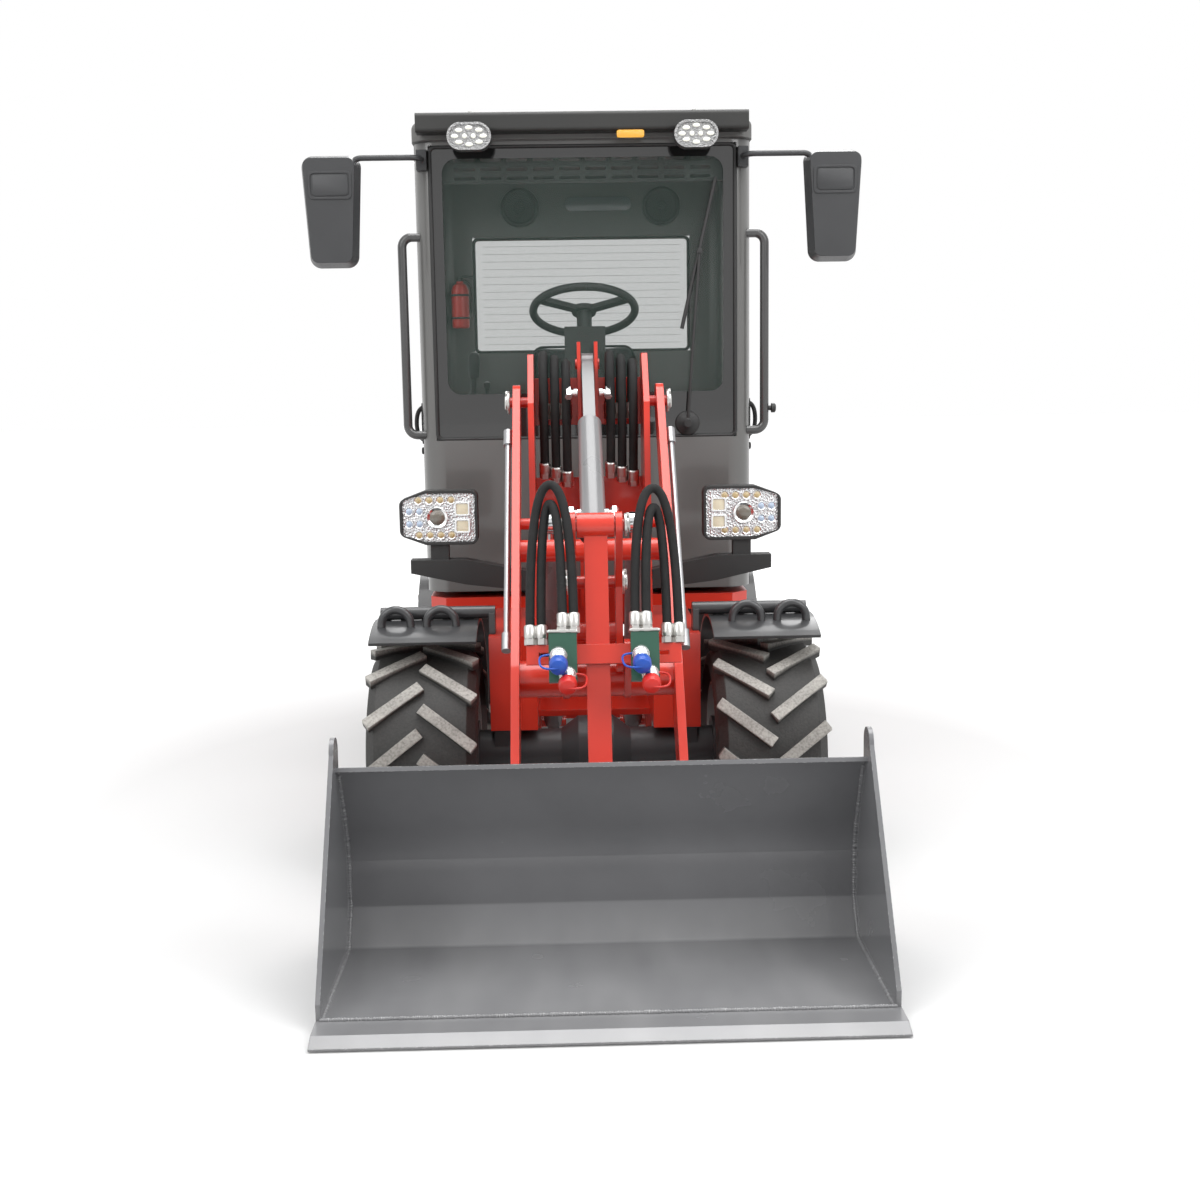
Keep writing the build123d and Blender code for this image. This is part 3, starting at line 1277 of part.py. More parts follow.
with BuildPart() as bucket_sides:
    for side in (1, -1):
        with BuildSketch(Plane.YZ.offset(side * (BUCKET_W / 2))) as side_outline:
            with BuildLine():
                Polyline(
                    (EDGE_BACK, FLOOR_Z),
                    (BUCKET_BACK - HEEL_L, FLOOR_Z),
                    (BUCKET_BACK, FLOOR_Z + HEEL_H),
                    (BUCKET_BACK, BUCKET_BEND_Z),
                    (BUCKET_TOP[0], BUCKET_TOP[1]),
                    (SIDE_EAR[0] + EAR_ROUND, SIDE_EAR[1] - EAR_ROUND),
                    (SIDE_EAR[0] - EAR_ROUND, SIDE_EAR[1] - EAR_ROUND),
                    (EDGE_BACK, FLOOR_Z + 60),
                    close=True,
                )
            make_face()
            with Locations((SIDE_EAR[0], SIDE_EAR[1] - EAR_ROUND)):
                Circle(EAR_ROUND)
        extrude(amount=-side * SIDE_T)
bucket_sides.part.label = "bucket_sides"
export_step(bucket_sides.part, "parts/bucket_sides.step")

# Tilt cylinder: a flat tail, a barrel, a piston and a chrome rod with its eye
EYE_W = 50
EYE_R = 34
tilt_long = unit(TILT_BASE, ROD_PIN)[2]
TILT_TAIL = 330
ROD_OUT = 205
GLAND_L = 45
TAIL_FLAT = 40
PISTON_R = 30
PISTON_L = 40
PISTON_AT = 230
ROD_INSIDE = 255
tilt_mouth = tilt_long - ROD_OUT
tilt_line = rod_plane(0, TILT_BASE, ROD_PIN)
with BuildPart() as tilt_barrel:
    with BuildSketch(tilt_line):
        Rectangle(TAIL_FLAT, 1.4 * TAIL_FLAT)
    extrude(amount=TILT_TAIL + HOOD_T)
    with BuildSketch(Plane.YZ.offset(-TAIL_FLAT / 2)):
        with Locations(TILT_BASE):
            Circle(2 * PIN_R)
    extrude(amount=TAIL_FLAT)
    with BuildSketch(tilt_line.offset(TILT_TAIL)):
        Circle(TILT_R)
    extrude(amount=tilt_mouth - TILT_TAIL)
    with BuildSketch(tilt_line.offset(tilt_mouth)):
        Circle(ROD_R + PIN_FIT)
    extrude(amount=-GLAND_L, mode=Mode.SUBTRACT)
    with BuildSketch(tilt_line.offset(tilt_mouth - GLAND_L)):
        Circle(PISTON_R + PIN_FIT)
    extrude(amount=-(tilt_mouth - GLAND_L - TILT_TAIL - TAIL_FLAT), mode=Mode.SUBTRACT)
    with BuildSketch(Plane.YZ.offset(-TAIL_FLAT)):
        with Locations(TILT_BASE):
            Circle(PIN_R + PIN_FIT)
    extrude(amount=2 * TAIL_FLAT, mode=Mode.SUBTRACT)
tilt_barrel.part.label = "tilt_barrel"
export_step(tilt_barrel.part, "parts/tilt_barrel.step")

with BuildPart() as tilt_piston:
    with BuildSketch(tilt_line.offset(tilt_mouth - PISTON_AT)):
        Circle(PISTON_R)
        Circle(ROD_R + PIN_FIT, mode=Mode.SUBTRACT)
    extrude(amount=-PISTON_L)
tilt_piston.part.label = "tilt_piston"
export_step(tilt_piston.part, "parts/tilt_piston.step")

with BuildPart() as tilt_rod:
    with BuildSketch(tilt_line.offset(tilt_long)):
        Circle(ROD_R)
    extrude(amount=-ROD_OUT - ROD_INSIDE)
    with BuildSketch(Plane.YZ.offset(-EYE_W / 2)):
        with Locations(ROD_PIN):
            Circle(EYE_R)
    extrude(amount=EYE_W)
tilt_rod.part.label = "tilt_rod"
export_step(tilt_rod.part, "parts/tilt_rod.step")

# Lift cylinders
lift_long = unit(LIFT_BASE, LIFT_EYE)[2]
LIFT_BARREL_L = lift_long - 95
LIFT_ROD_R = 19
LIFT_EYE_W = 40
LIFT_END = 70
LIFT_SHORT = 80
STEER_END = 60
STEER_SHORT = 230
with BuildPart() as lift_barrels:
    for x in (CYLINDER_X, -CYLINDER_X):
        lift_line = rod_plane(x, LIFT_BASE, LIFT_EYE)
        with BuildSketch(Plane.YZ.offset(x - LIFT_EYE_W / 2)):
            with Locations(LIFT_BASE):
                Circle(EYE_R)
        extrude(amount=LIFT_EYE_W)
        with BuildSketch(lift_line):
            Circle(LIFT_R)
        extrude(amount=LIFT_BARREL_L)
        with BuildSketch(lift_line.offset(LIFT_BARREL_L)):
            Circle(LIFT_ROD_R + PIN_FIT)
        extrude(amount=-LIFT_BARREL_L + LIFT_END, mode=Mode.SUBTRACT)
        with BuildSketch(Plane.YZ.offset(x - LIFT_R)):
            with Locations(LIFT_BASE):
                Circle(PIN_R + PIN_FIT)
        extrude(amount=2 * LIFT_R, mode=Mode.SUBTRACT)
lift_barrels.part.label = "lift_barrels"
export_step(lift_barrels.part, "parts/lift_barrels.step")

with BuildPart() as lift_rods:
    for x in (CYLINDER_X, -CYLINDER_X):
        with BuildSketch(rod_plane(x, LIFT_BASE, LIFT_EYE).offset(lift_long)):
            Circle(LIFT_ROD_R)
        extrude(amount=-(lift_long - LIFT_SHORT))
        with BuildSketch(Plane.YZ.offset(x - LIFT_EYE_W / 2)):
            with Locations(LIFT_EYE):
                Circle(EYE_R)
        extrude(amount=LIFT_EYE_W)
lift_rods.part.label = "lift_rods"
export_step(lift_rods.part, "parts/lift_rods.step")

# Steering cylinder
STEER_R = 28
STEER_ROD_R = 14
steer_long = STEER_BASE[1] - STEER_EYE[1]
STEER_BARREL_L = 370
steer_line = Plane(origin=(STEER_BASE[0], STEER_BASE[1], STEER_Z), x_dir=(1, 0, 0), z_dir=(0, -1, 0))
with BuildPart() as steer_barrel:
    with BuildSketch(steer_line):
        Circle(STEER_R)
    extrude(amount=STEER_BARREL_L)
    with BuildSketch(Plane.XY.offset(STEER_Z - 20)):
        with Locations(STEER_BASE):
            Circle(32)
    extrude(amount=40)
    with BuildSketch(steer_line.offset(STEER_BARREL_L)):
        Circle(STEER_ROD_R + PIN_FIT)
    extrude(amount=-STEER_BARREL_L + STEER_END, mode=Mode.SUBTRACT)
    with BuildSketch(Plane.XY.offset(STEER_Z - 60)):
        with Locations(STEER_BASE):
            Circle(POST_R + PIN_FIT)
    extrude(amount=120, mode=Mode.SUBTRACT)
steer_barrel.part.label = "steer_barrel"
export_step(steer_barrel.part, "parts/steer_barrel.step")

with BuildPart() as steer_rod:
    with BuildSketch(steer_line.offset(steer_long)):
        Circle(STEER_ROD_R)
    extrude(amount=-(steer_long - STEER_SHORT))
    with BuildSketch(Plane.XY.offset(STEER_Z - 20)):
        with Locations(STEER_EYE):
            Circle(28)
    extrude(amount=40)
steer_rod.part.label = "steer_rod"
export_step(steer_rod.part, "parts/steer_rod.step")

# Steel pipes along the boom arms
PIPE_R = 9
COLLAR_R = 15
COLLAR_L = 60
PIPE_X = ARM_X + ARM_T / 2 + COLLAR_R
PIPE_FROM = 150
PIPE_L = unit(BOOM_PIVOT, BOOM_KNEE)[2] - 230
PIPE_UP = 30
with BuildPart() as boom_pipes:
    for side in (1, -1):
        dy, dz, _ = unit(BOOM_PIVOT, BOOM_KNEE)
        start = along(BOOM_PIVOT, BOOM_KNEE, PIPE_FROM)
        pipe = Plane(
            origin=(side * PIPE_X, start[0] + dz * PIPE_UP, start[1] - dy * PIPE_UP),
            x_dir=(1, 0, 0),
            z_dir=(0, dy, dz),
        )
        with BuildSketch(pipe):
            Circle(PIPE_R)
        extrude(amount=PIPE_L)
        for at in (0, PIPE_L - COLLAR_L):
            with BuildSketch(pipe.offset(at)):
                Circle(COLLAR_R)
            extrude(amount=COLLAR_L)
boom_pipes.part.label = "boom_pipes"
export_step(boom_pipes.part, "parts/boom_pipes.step")

# Hoses over the tower: from the cross plate behind, up over its top and down in front
HOSE_R = 15
HOSE_XS = (-150, -112, -74, 74, 112, 150)
HOSE_SEAT = 0.3
HOSE_BACK = TOWER_REAR - PLATE_T - HOSE_R - HOSE_SEAT
HOSE_TOP = TOWER_TOP + 5
with BuildPart() as tower_hoses:
    for step, x in enumerate(HOSE_XS):
        crest = HOSE_TOP - 14 * (step % 3)
        with BuildLine() as hose_line:
            FilletPolyline(
                (x, HOSE_BACK, BOOM_PIVOT[1] - 60),
                (x, HOSE_BACK, crest),
                (x, HOSE_BACK - 110, crest - 15),
                (x, HOSE_BACK - 125, crest - 210),
                (x, HOSE_BACK - 60, crest - 420),
                radius=38,
            )
        with BuildSketch(Plane(origin=hose_line.line @ 0, z_dir=hose_line.line % 0)):
            Circle(HOSE_R)
        sweep(path=hose_line.line)
tower_hoses.part.label = "tower_hoses"
export_step(tower_hoses.part, "parts/tower_hoses.step")

# Coupler hoses: arched loops from each coupler block to the top edge of the coupler bar
LOOP_R = 13
LOOP_BEND = 28
LOOPS = ((-66, -188, -110), (-97, -157, -55), (103, 226, -95), (134, 194, -40))
block_top = link_long * BAR_AT - BAR_H - HOSE_SEAT
bar_top = link_long * BAR_AT - BAR_H / 2 - HOSE_SEAT
with BuildPart() as coupler_hoses:
    for x_block, x_bar, crest in LOOPS:
        loop_points = (
            (x_block, bar_face + BLOCK_D - LOOP_R, block_top),
            (x_block, bar_face + BLOCK_D - LOOP_R, crest),
            (x_bar, bar_face - BAR_T / 2, crest),
            (x_bar, bar_face - BAR_T / 2, bar_top),
        )
        with BuildLine() as loop_line:
            FilletPolyline(*[link_plane.from_local_coords(point) for point in loop_points], radius=LOOP_BEND)
        with BuildSketch(Plane(origin=loop_line.line @ 0, z_dir=loop_line.line % 0)):
            Circle(LOOP_R)
        sweep(path=loop_line.line)
coupler_hoses.part.label = "coupler_hoses"
export_step(coupler_hoses.part, "parts/coupler_hoses.step")
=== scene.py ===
# %% [markdown]
# A compact articulated wheel loader, dressed in Blender. The solids of the machine come ready made in
# metres, with the front facing -Y, so nothing is moved here: this file gives every surface its finish,
# adds the small parts that a modeller would not put in solids, and sets up the studio.

# %% Load the frame and look at its size
import json
import math

import bmesh
import bpy
from mathutils import Matrix, Vector


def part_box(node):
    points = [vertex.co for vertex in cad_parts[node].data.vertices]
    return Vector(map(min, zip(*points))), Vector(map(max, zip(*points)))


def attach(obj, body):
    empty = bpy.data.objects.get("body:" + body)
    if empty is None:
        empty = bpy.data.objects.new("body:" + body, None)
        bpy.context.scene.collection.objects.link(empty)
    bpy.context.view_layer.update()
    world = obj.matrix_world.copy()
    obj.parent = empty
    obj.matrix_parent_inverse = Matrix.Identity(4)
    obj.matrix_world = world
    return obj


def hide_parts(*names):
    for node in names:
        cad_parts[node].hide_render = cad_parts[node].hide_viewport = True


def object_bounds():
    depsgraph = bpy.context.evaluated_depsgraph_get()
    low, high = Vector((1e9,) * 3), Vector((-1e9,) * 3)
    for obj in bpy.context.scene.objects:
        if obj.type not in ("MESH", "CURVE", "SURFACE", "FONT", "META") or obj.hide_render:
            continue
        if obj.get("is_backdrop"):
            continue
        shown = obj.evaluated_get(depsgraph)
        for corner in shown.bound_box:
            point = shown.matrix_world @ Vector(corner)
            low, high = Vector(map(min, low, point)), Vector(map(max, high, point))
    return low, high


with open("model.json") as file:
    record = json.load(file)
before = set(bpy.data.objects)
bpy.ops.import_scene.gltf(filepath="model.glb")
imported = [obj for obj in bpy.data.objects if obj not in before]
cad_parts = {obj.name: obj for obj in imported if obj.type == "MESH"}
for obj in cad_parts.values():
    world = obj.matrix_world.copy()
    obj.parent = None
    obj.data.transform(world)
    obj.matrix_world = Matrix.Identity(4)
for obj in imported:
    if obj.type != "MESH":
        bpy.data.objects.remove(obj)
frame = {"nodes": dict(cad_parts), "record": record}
nodes = frame["nodes"]
cad_low, cad_high = (Vector(corner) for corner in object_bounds())
joints = {joint["name"]: joint for joint in frame["record"]["behaviour"]["joints"]}
JOINT_Y = joints["articulation"]["pos_m"][1]


def corners_of(name):
    """The low and the high corner of a solid's box."""
    return [Vector(corner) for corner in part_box(name)]


def pivot_of(name):
    """The place of a joint."""
    return Vector(joints[name]["pos_m"])


print("machine box", [round(v, 3) for v in cad_low], [round(v, 3) for v in cad_high])

# %% [markdown]
# The photograph was taken from a little above bonnet height, nearly square to the front. The lens and the
# place of the camera were worked out from the cab, the tyres and the bucket, so they are written as they
# were found: a distance ahead of the pivot, a height, and three small angles.

# %% Camera
CAMERA_AHEAD = 5.440
CAMERA_SIDE = -0.083
CAMERA_HEIGHT = 1.541
CAMERA_YAW = math.radians(1.28)
CAMERA_DIP = math.radians(8.78)
CAMERA_ROLL = math.radians(0.88)
FOCAL_PIXELS = 1481
FRAME_PIXELS = 1200


def placed(name, data):
    """A new object in the scene."""
    made = bpy.data.objects.new(name, data)
    bpy.context.scene.collection.objects.link(made)
    return made


camera_data = bpy.data.cameras.new("photo_camera")
camera_data.sensor_width = 36
camera_data.lens = camera_data.sensor_width * FOCAL_PIXELS / FRAME_PIXELS
camera_data.clip_end = 200
camera = placed("photo_camera", camera_data)
camera.location = (CAMERA_SIDE, JOINT_Y - CAMERA_AHEAD, CAMERA_HEIGHT)
level = Matrix.Rotation(-CAMERA_YAW, 4, "Z") @ Matrix.Rotation(math.pi / 2 - CAMERA_DIP, 4, "X")
camera.rotation_euler = (level @ Matrix.Rotation(-CAMERA_ROLL, 4, "Z")).to_euler()
bpy.context.scene.camera = camera
print("lens", round(camera_data.lens, 1), "mm")

# %% [markdown]
# A finish is a small net of nodes. Every painted part shares one recipe: the colour drifts a little with a
# soft noise, the clear coat has a fine orange-peel bump, and a bevel node rounds the hard edges of the
# solids for the light only, which also tells where the paint has rubbed thin.

# %% Recipes for finishes
EDGE_ROUND = 0.003


def add_node(tree, kind, inputs=(), **settings):
    """A shader node with its settings, and with its inputs set or linked."""
    made = tree.nodes.new("ShaderNode" + kind)
    for key, value in settings.items():
        setattr(made, key, value)
    for key, value in dict(inputs).items():
        if isinstance(value, bpy.types.NodeSocket):
            tree.links.new(value, made.inputs[key])
        else:
            made.inputs[key].default_value = value
    return made


def new_finish(name):
    """A material with its shader, and two helpers that add a node and link one to the shader."""
    material = bpy.data.materials.new(name)
    material.use_nodes = True
    tree = material.node_tree
    shader = tree.nodes["Principled BSDF"]

    def node(kind, inputs=(), **settings):
        return add_node(tree, kind, inputs, **settings)

    def link(output, key):
        tree.links.new(output, shader.inputs[key])

    return material, shader, node, link


print("node helpers ready")

# %% Colours and bumps
def rgba(colour, gain=1.0):
    """A colour for a socket, made darker or lighter by a gain."""
    return (*[min(1.0, c * gain) for c in colour], 1.0)


def mixed(node, factor, low, high):
    """A colour between two, chosen by a factor socket."""
    mix = node("Mix", data_type="RGBA")
    links = mix.id_data.links
    links.new(factor, mix.inputs[0])
    for value, socket in ((low, mix.inputs[6]), (high, mix.inputs[7])):
        if isinstance(value, bpy.types.NodeSocket):
            links.new(value, socket)
        else:
            socket.default_value = value
    return mix.outputs[2]


def bumped(node, link, height, strength, deep, rounded=None):
    """Raise the surface by a height socket, over edges that may be rounded for the light."""
    inputs = {"Height": height, "Strength": strength, "Distance": deep}
    if rounded is not None:
        inputs["Normal"] = rounded
    link(node("Bump", inputs).outputs[0], "Normal")


print("colour helpers ready")

# %% Paint on steel
def painted(name, colour, rough=0.32, coat=0.35, rub=None, drift=0.10, scour_and_sheen_below=0.0):
    """Gloss paint on steel, worn to the rub colour along the edges; lighter below a height, partly wear,
    partly painted reflection.
    """
    material, shader, node, link = new_finish(name)
    place = node("TexCoord").outputs["Object"]
    cloud = node("TexNoise", {"Vector": place, "Scale": 4.0, "Detail": 6.0})
    base = mixed(node, cloud.outputs[0], rgba(colour, 1 - drift), rgba(colour, 1 + drift))
    rounded = node("Bevel", {"Radius": EDGE_ROUND}, samples=4)
    if rub:
        flat = node("NewGeometry").outputs["Normal"]
        facing = node("VectorMath", {0: rounded.outputs[0], 1: flat}, operation="DOT_PRODUCT")
        speck = node("TexNoise", {"Vector": place, "Scale": 90.0, "Detail": 3.0})
        rubbed = node("MapRange", {"Value": facing.outputs["Value"], "From Min": 0.985, "From Max": 0.90})
        chance = node("MapRange", {"Value": speck.outputs[0], "From Min": 0.52, "From Max": 0.62})
        worn = node("Math", {0: rubbed.outputs[0], 1: chance.outputs[0]}, operation="MULTIPLY")
        base = mixed(node, worn.outputs[0], base, rgba(rub))
    # Below the given height the colour moves towards the rub colour: partly scoured wear, partly a painted
    # reflection on the bucket floor.
    if scour_and_sheen_below:
        height = node("SeparateXYZ", {"Vector": place}).outputs["Z"]
        low = node("MapRange", {"Value": height, "From Min": scour_and_sheen_below, "From Max": 0.0, "To Max": 0.5})
        streak = node("Mapping", {"Vector": place, "Scale": (7.0, 2.0, 7.0)})
        scratch = node("TexNoise", {"Vector": streak.outputs[0], "Scale": 1.0, "Detail": 2.0})
        scour_and_sheen = node("Math", {0: low.outputs[0], 1: scratch.outputs[0]}, operation="MULTIPLY")
        base = mixed(node, scour_and_sheen.outputs[0], base, rgba(rub))
    link(base, "Base Color")
    gloss = node("MapRange", {"Value": cloud.outputs[0], "To Min": rough - 0.06, "To Max": rough + 0.08})
    link(gloss.outputs[0], "Roughness")
    peel = node("TexNoise", {"Vector": place, "Scale": 420.0, "Detail": 2.0})
    bumped(node, link, peel.outputs[0], 0.02, 0.002, rounded.outputs[0])
    shader.inputs["Coat Weight"].default_value = coat
    shader.inputs["Coat Roughness"].default_value = 0.10
    return material


print("paint ready")

# %% [markdown]
# Moulded plastic and rubber have a fine grain and no clear coat, bare metal is brushed along one
# direction, and window glass is thin enough to be a tinted film that lets most of the light through.

# %% Plastic, metal and glass
def moulded(name, colour, rough=0.55, grain=900.0, strength=0.25):
    """Moulded plastic or rubber with a fine leather-like grain."""
    material, shader, node, link = new_finish(name)
    place = node("TexCoord").outputs["Object"]
    cloud = node("TexNoise", {"Vector": place, "Scale": 6.0, "Detail": 4.0})
    link(mixed(node, cloud.outputs[0], rgba(colour, 0.8), rgba(colour, 1.25)), "Base Color")
    pores = node("TexVoronoi", {"Vector": place, "Scale": grain})
    rounded = node("Bevel", {"Radius": EDGE_ROUND}, samples=4)
    bumped(node, link, pores.outputs[0], strength, 0.001, rounded.outputs[0])
    gloss = node("MapRange", {"Value": cloud.outputs[0], "To Min": rough - 0.08, "To Max": rough + 0.08})
    link(gloss.outputs[0], "Roughness")
    return material


def metal(name, colour, rough=0.3, brushed=0.12):
    """Bare metal with fine brushing."""
    material, shader, node, link = new_finish(name)
    place = node("TexCoord").outputs["Object"]
    stretch = node("Mapping", {"Vector": place, "Scale": (40.0, 400.0, 400.0)})
    hairs = node("TexNoise", {"Vector": stretch.outputs[0], "Scale": 3.0, "Detail": 3.0})
    link(mixed(node, hairs.outputs[0], rgba(colour, 0.9), rgba(colour, 1.05)), "Base Color")
    gloss = node("MapRange", {"Value": hairs.outputs[0], "To Min": rough, "To Max": rough + brushed})
    link(gloss.outputs[0], "Roughness")
    rounded = node("Bevel", {"Radius": 0.002}, samples=4)
    link(rounded.outputs[0], "Normal")
    shader.inputs["Metallic"].default_value = 1.0
    return material


def clear(name, colour, alpha, rough=0.04):
    """Glass or a clear lens, thin enough to be treated as a tinted film."""
    material, shader, node, link = new_finish(name)
    place = node("TexCoord").outputs["Object"]
    haze = node("TexNoise", {"Vector": place, "Scale": 2.0, "Detail": 3.0})
    link(mixed(node, haze.outputs[0], rgba(colour, 0.9), rgba(colour, 1.1)), "Base Color")
    gloss = node("MapRange", {"Value": haze.outputs[0], "To Min": rough, "To Max": rough + 0.04})
    link(gloss.outputs[0], "Roughness")
    shader.inputs["Alpha"].default_value = alpha
    shader.inputs["Specular IOR Level"].default_value = 0.9
    return material


print("plastic, metal and glass ready")

# %% [markdown]
# The tyres are black rubber, but the tops of the lugs are scuffed pale where they meet the ground. That
# rule needs only the distance from the axle, so the finish measures it: one material per axle, because the
# two axles stand at different places along the machine.

# %% Tyre rubber
tyre_low, tyre_high = corners_of("front_left_tyre")
TYRE_R = (tyre_high.z - tyre_low.z) / 2
LUG_DEEP, LUG_SCUFF = 0.020, 0.006
RUBBER_DARK, RUBBER_PALE = (0.012, 0.012, 0.012), (0.045, 0.043, 0.040)
SCUFFED_PALE = (0.41, 0.395, 0.365)


def tyre_rubber(name, axle_y):
    """Rubber with pale lug tops, for the wheels of the axle at axle_y."""
    material, shader, node, link = new_finish(name)
    place = node("TexCoord").outputs["Object"]
    shifted = node("Mapping", {"Vector": place, "Location": (0, -axle_y, -TYRE_R), "Scale": (0, 1, 1)})
    radius = node("VectorMath", {0: shifted.outputs[0]}, operation="LENGTH").outputs["Value"]
    lug_foot, lug_top = TYRE_R - LUG_DEEP, TYRE_R - LUG_SCUFF
    scuffed = node("MapRange", {"Value": radius, "From Min": lug_foot, "From Max": lug_top})
    grain = node("TexNoise", {"Vector": place, "Scale": 140.0, "Detail": 6.0})
    patchy = node("MapRange", {"Value": grain.outputs[0], "From Min": 0.3, "From Max": 0.6, "To Min": 0.55})
    worn = node("Math", {0: scuffed.outputs[0], 1: patchy.outputs[0]}, operation="MULTIPLY")
    black = mixed(node, grain.outputs[0], rgba(RUBBER_DARK), rgba(RUBBER_PALE))
    link(mixed(node, worn.outputs[0], black, rgba(SCUFFED_PALE)), "Base Color")
    rounded = node("Bevel", {"Radius": 2 * EDGE_ROUND}, samples=4)
    bumped(node, link, grain.outputs[0], 0.3, 0.003, rounded.outputs[0])
    shader.inputs["Roughness"].default_value = 0.62
    return material


print("tyre radius", round(TYRE_R, 3))

# %% [markdown]
# Now each solid gets its finish. The colours are those of the machine: red arms and frames, a grey cab, a
# grey bucket that is rubbed bright along its edges, black plastic, and rods of chrome. Only the floor of
# the bucket is also painted lighter, partly as scouring and partly as a painted reflection. A table from
# finish to solids keeps the whole machine in one view.

# %% Finishes of this machine
RED = (0.66, 0.034, 0.015)
RUBBED_RED = (0.30, 0.10, 0.08)
CAB_GREY = (0.122, 0.121, 0.117)
BUCKET_GREY = (0.160, 0.161, 0.168)
BARE_STEEL = (0.42, 0.42, 0.42)
red_paint = painted("red_paint", RED, rough=0.30, rub=RUBBED_RED)
cab_paint = painted("cab_paint", CAB_GREY, rough=0.30, coat=0.5)
roof_paint = painted("roof_paint", CAB_GREY, rough=0.62, coat=0.0)
# The floor of the bucket, below 0.12 m, is painted lighter: partly scoured wear, partly a painted
# reflection of the bright studio.
bucket_paint = painted(
    "bucket_paint", BUCKET_GREY, rough=0.24, coat=0.55, rub=BARE_STEEL, drift=0.18, scour_and_sheen_below=0.12
)
visor_paint = painted("visor_paint", (0.016, 0.016, 0.015), rough=0.50, coat=0.0)
cylinder_paint = painted("cylinder_paint", (0.18, 0.18, 0.184), rough=0.28, coat=0.4)
rim_paint = painted("rim_paint", (0.52, 0.52, 0.51), rough=0.35)
green_paint = painted("green_paint", (0.012, 0.075, 0.045), rough=0.40)
cast_grey = painted("cast_grey", (0.030, 0.030, 0.032), rough=0.50, coat=0.05, drift=0.25)
black_plastic = moulded("black_plastic", (0.020, 0.020, 0.020))
fender_plastic = moulded("fender_plastic", (0.030, 0.031, 0.033), rough=0.42)
wing_plastic = painted("wing_plastic", (0.034, 0.035, 0.037), rough=0.36, coat=0.3)
trim_plastic = moulded("trim_plastic", (0.028, 0.030, 0.029), rough=0.60, strength=0.08)
hose_rubber = moulded("hose_rubber", (0.013, 0.013, 0.013), rough=0.62, grain=500.0, strength=0.5)
seat_cloth = moulded("seat_cloth", (0.045, 0.047, 0.050), rough=0.85, grain=700.0, strength=0.6)
rail_paint = painted("rail_paint", (0.045, 0.045, 0.045), rough=0.28, coat=0.6)
chrome = metal("chrome", (0.72, 0.73, 0.74), rough=0.08, brushed=0.05)
steel = metal("steel", (0.58, 0.57, 0.55), rough=0.28)
zinc = metal("zinc", (0.40, 0.40, 0.41), rough=0.32)
window_glass = clear("window_glass", (0.040, 0.075, 0.060), 0.17)
tyre_front = tyre_rubber("tyre_front", pivot_of("wheel_front_left_spin").y)
tyre_rear = tyre_rubber("tyre_rear", pivot_of("wheel_rear_left_spin").y)
print("materials", len(bpy.data.materials))

# %% Finish of each solid
by_node = {
    red_paint: "rear_frame front_frame boom lever link quick_coupler hood",
    cab_paint: "cab_front cab_rear door_left door_right counterweight",
    roof_paint: "cab_roof",
    visor_paint: "roof_visor",
    bucket_paint: "bucket_shell bucket_sides bucket_hooks cutting_edge",
    cast_grey: "front_axle rear_axle engine_block",
    fender_plastic: "mirrors",
    wing_plastic: "front_fenders rear_fenders",
    black_plastic: "lamp_brackets step_boxes hood_grille cab_floor steering_wheel headlamps work_lamps",
    trim_plastic: "cab_trim",
    seat_cloth: "seat_cushion seat_back",
    rail_paint: "grab_rails",
    window_glass: "cab_glass door_glass_left door_glass_right",
    chrome: "tilt_rod lift_rods steer_rod",
    zinc: "boom_pipes",
    steel: "tilt_piston",
    cylinder_paint: "tilt_barrel lift_barrels steer_barrel",
    green_paint: "coupler_blocks",
    hose_rubber: "tower_hoses coupler_hoses",
    rim_paint: "front_left_rim front_right_rim rear_left_rim rear_right_rim",
    tyre_front: "front_left_tyre front_right_tyre",
    tyre_rear: "rear_left_tyre rear_right_tyre",
}
for material, names in by_node.items():
    for name in names.split():
        nodes[name].data.materials.clear()
        nodes[name].data.materials.append(material)
dressed = sum(len(names.split()) for names in by_node.values())
print("finishes", len(by_node), "on", dressed, "of", len(nodes), "solids")

# %% [markdown]
# The studio is a pale sheet under a white sky. Rays that go straight from the camera, or off gloss and
# through glass, see the full white; the light that falls on the machine is softer, so its colours come out
# as they are written. Four wide area lamps stand for the studio's panels. The floor glows more with its
# distance from the machine, so it ends in white and still keeps a soft shadow.

# %% Sky
SKY_LIGHT, SKY_WHITE = 0.55, 1.0
world = bpy.data.worlds.new("studio_world")
bpy.context.scene.world = world
world.use_nodes = True
tree = world.node_tree
sky = tree.nodes["Background"]
sky.inputs["Color"].default_value = (1, 1, 1, 1)
ray = add_node(tree, "LightPath").outputs
straight = {0: ray["Is Camera Ray"], 1: ray["Is Transmission Ray"]}
seen = add_node(tree, "Math", straight, operation="MAXIMUM")
shown = add_node(tree, "Math", {0: seen.outputs[0], 1: ray["Is Glossy Ray"]}, operation="MAXIMUM")
strength = add_node(tree, "MapRange", {"Value": shown.outputs[0], "To Min": SKY_LIGHT, "To Max": SKY_WHITE})
tree.links.new(strength.outputs[0], sky.inputs["Strength"])

print("sky", SKY_LIGHT, "for light and", SKY_WHITE, "where it shows")

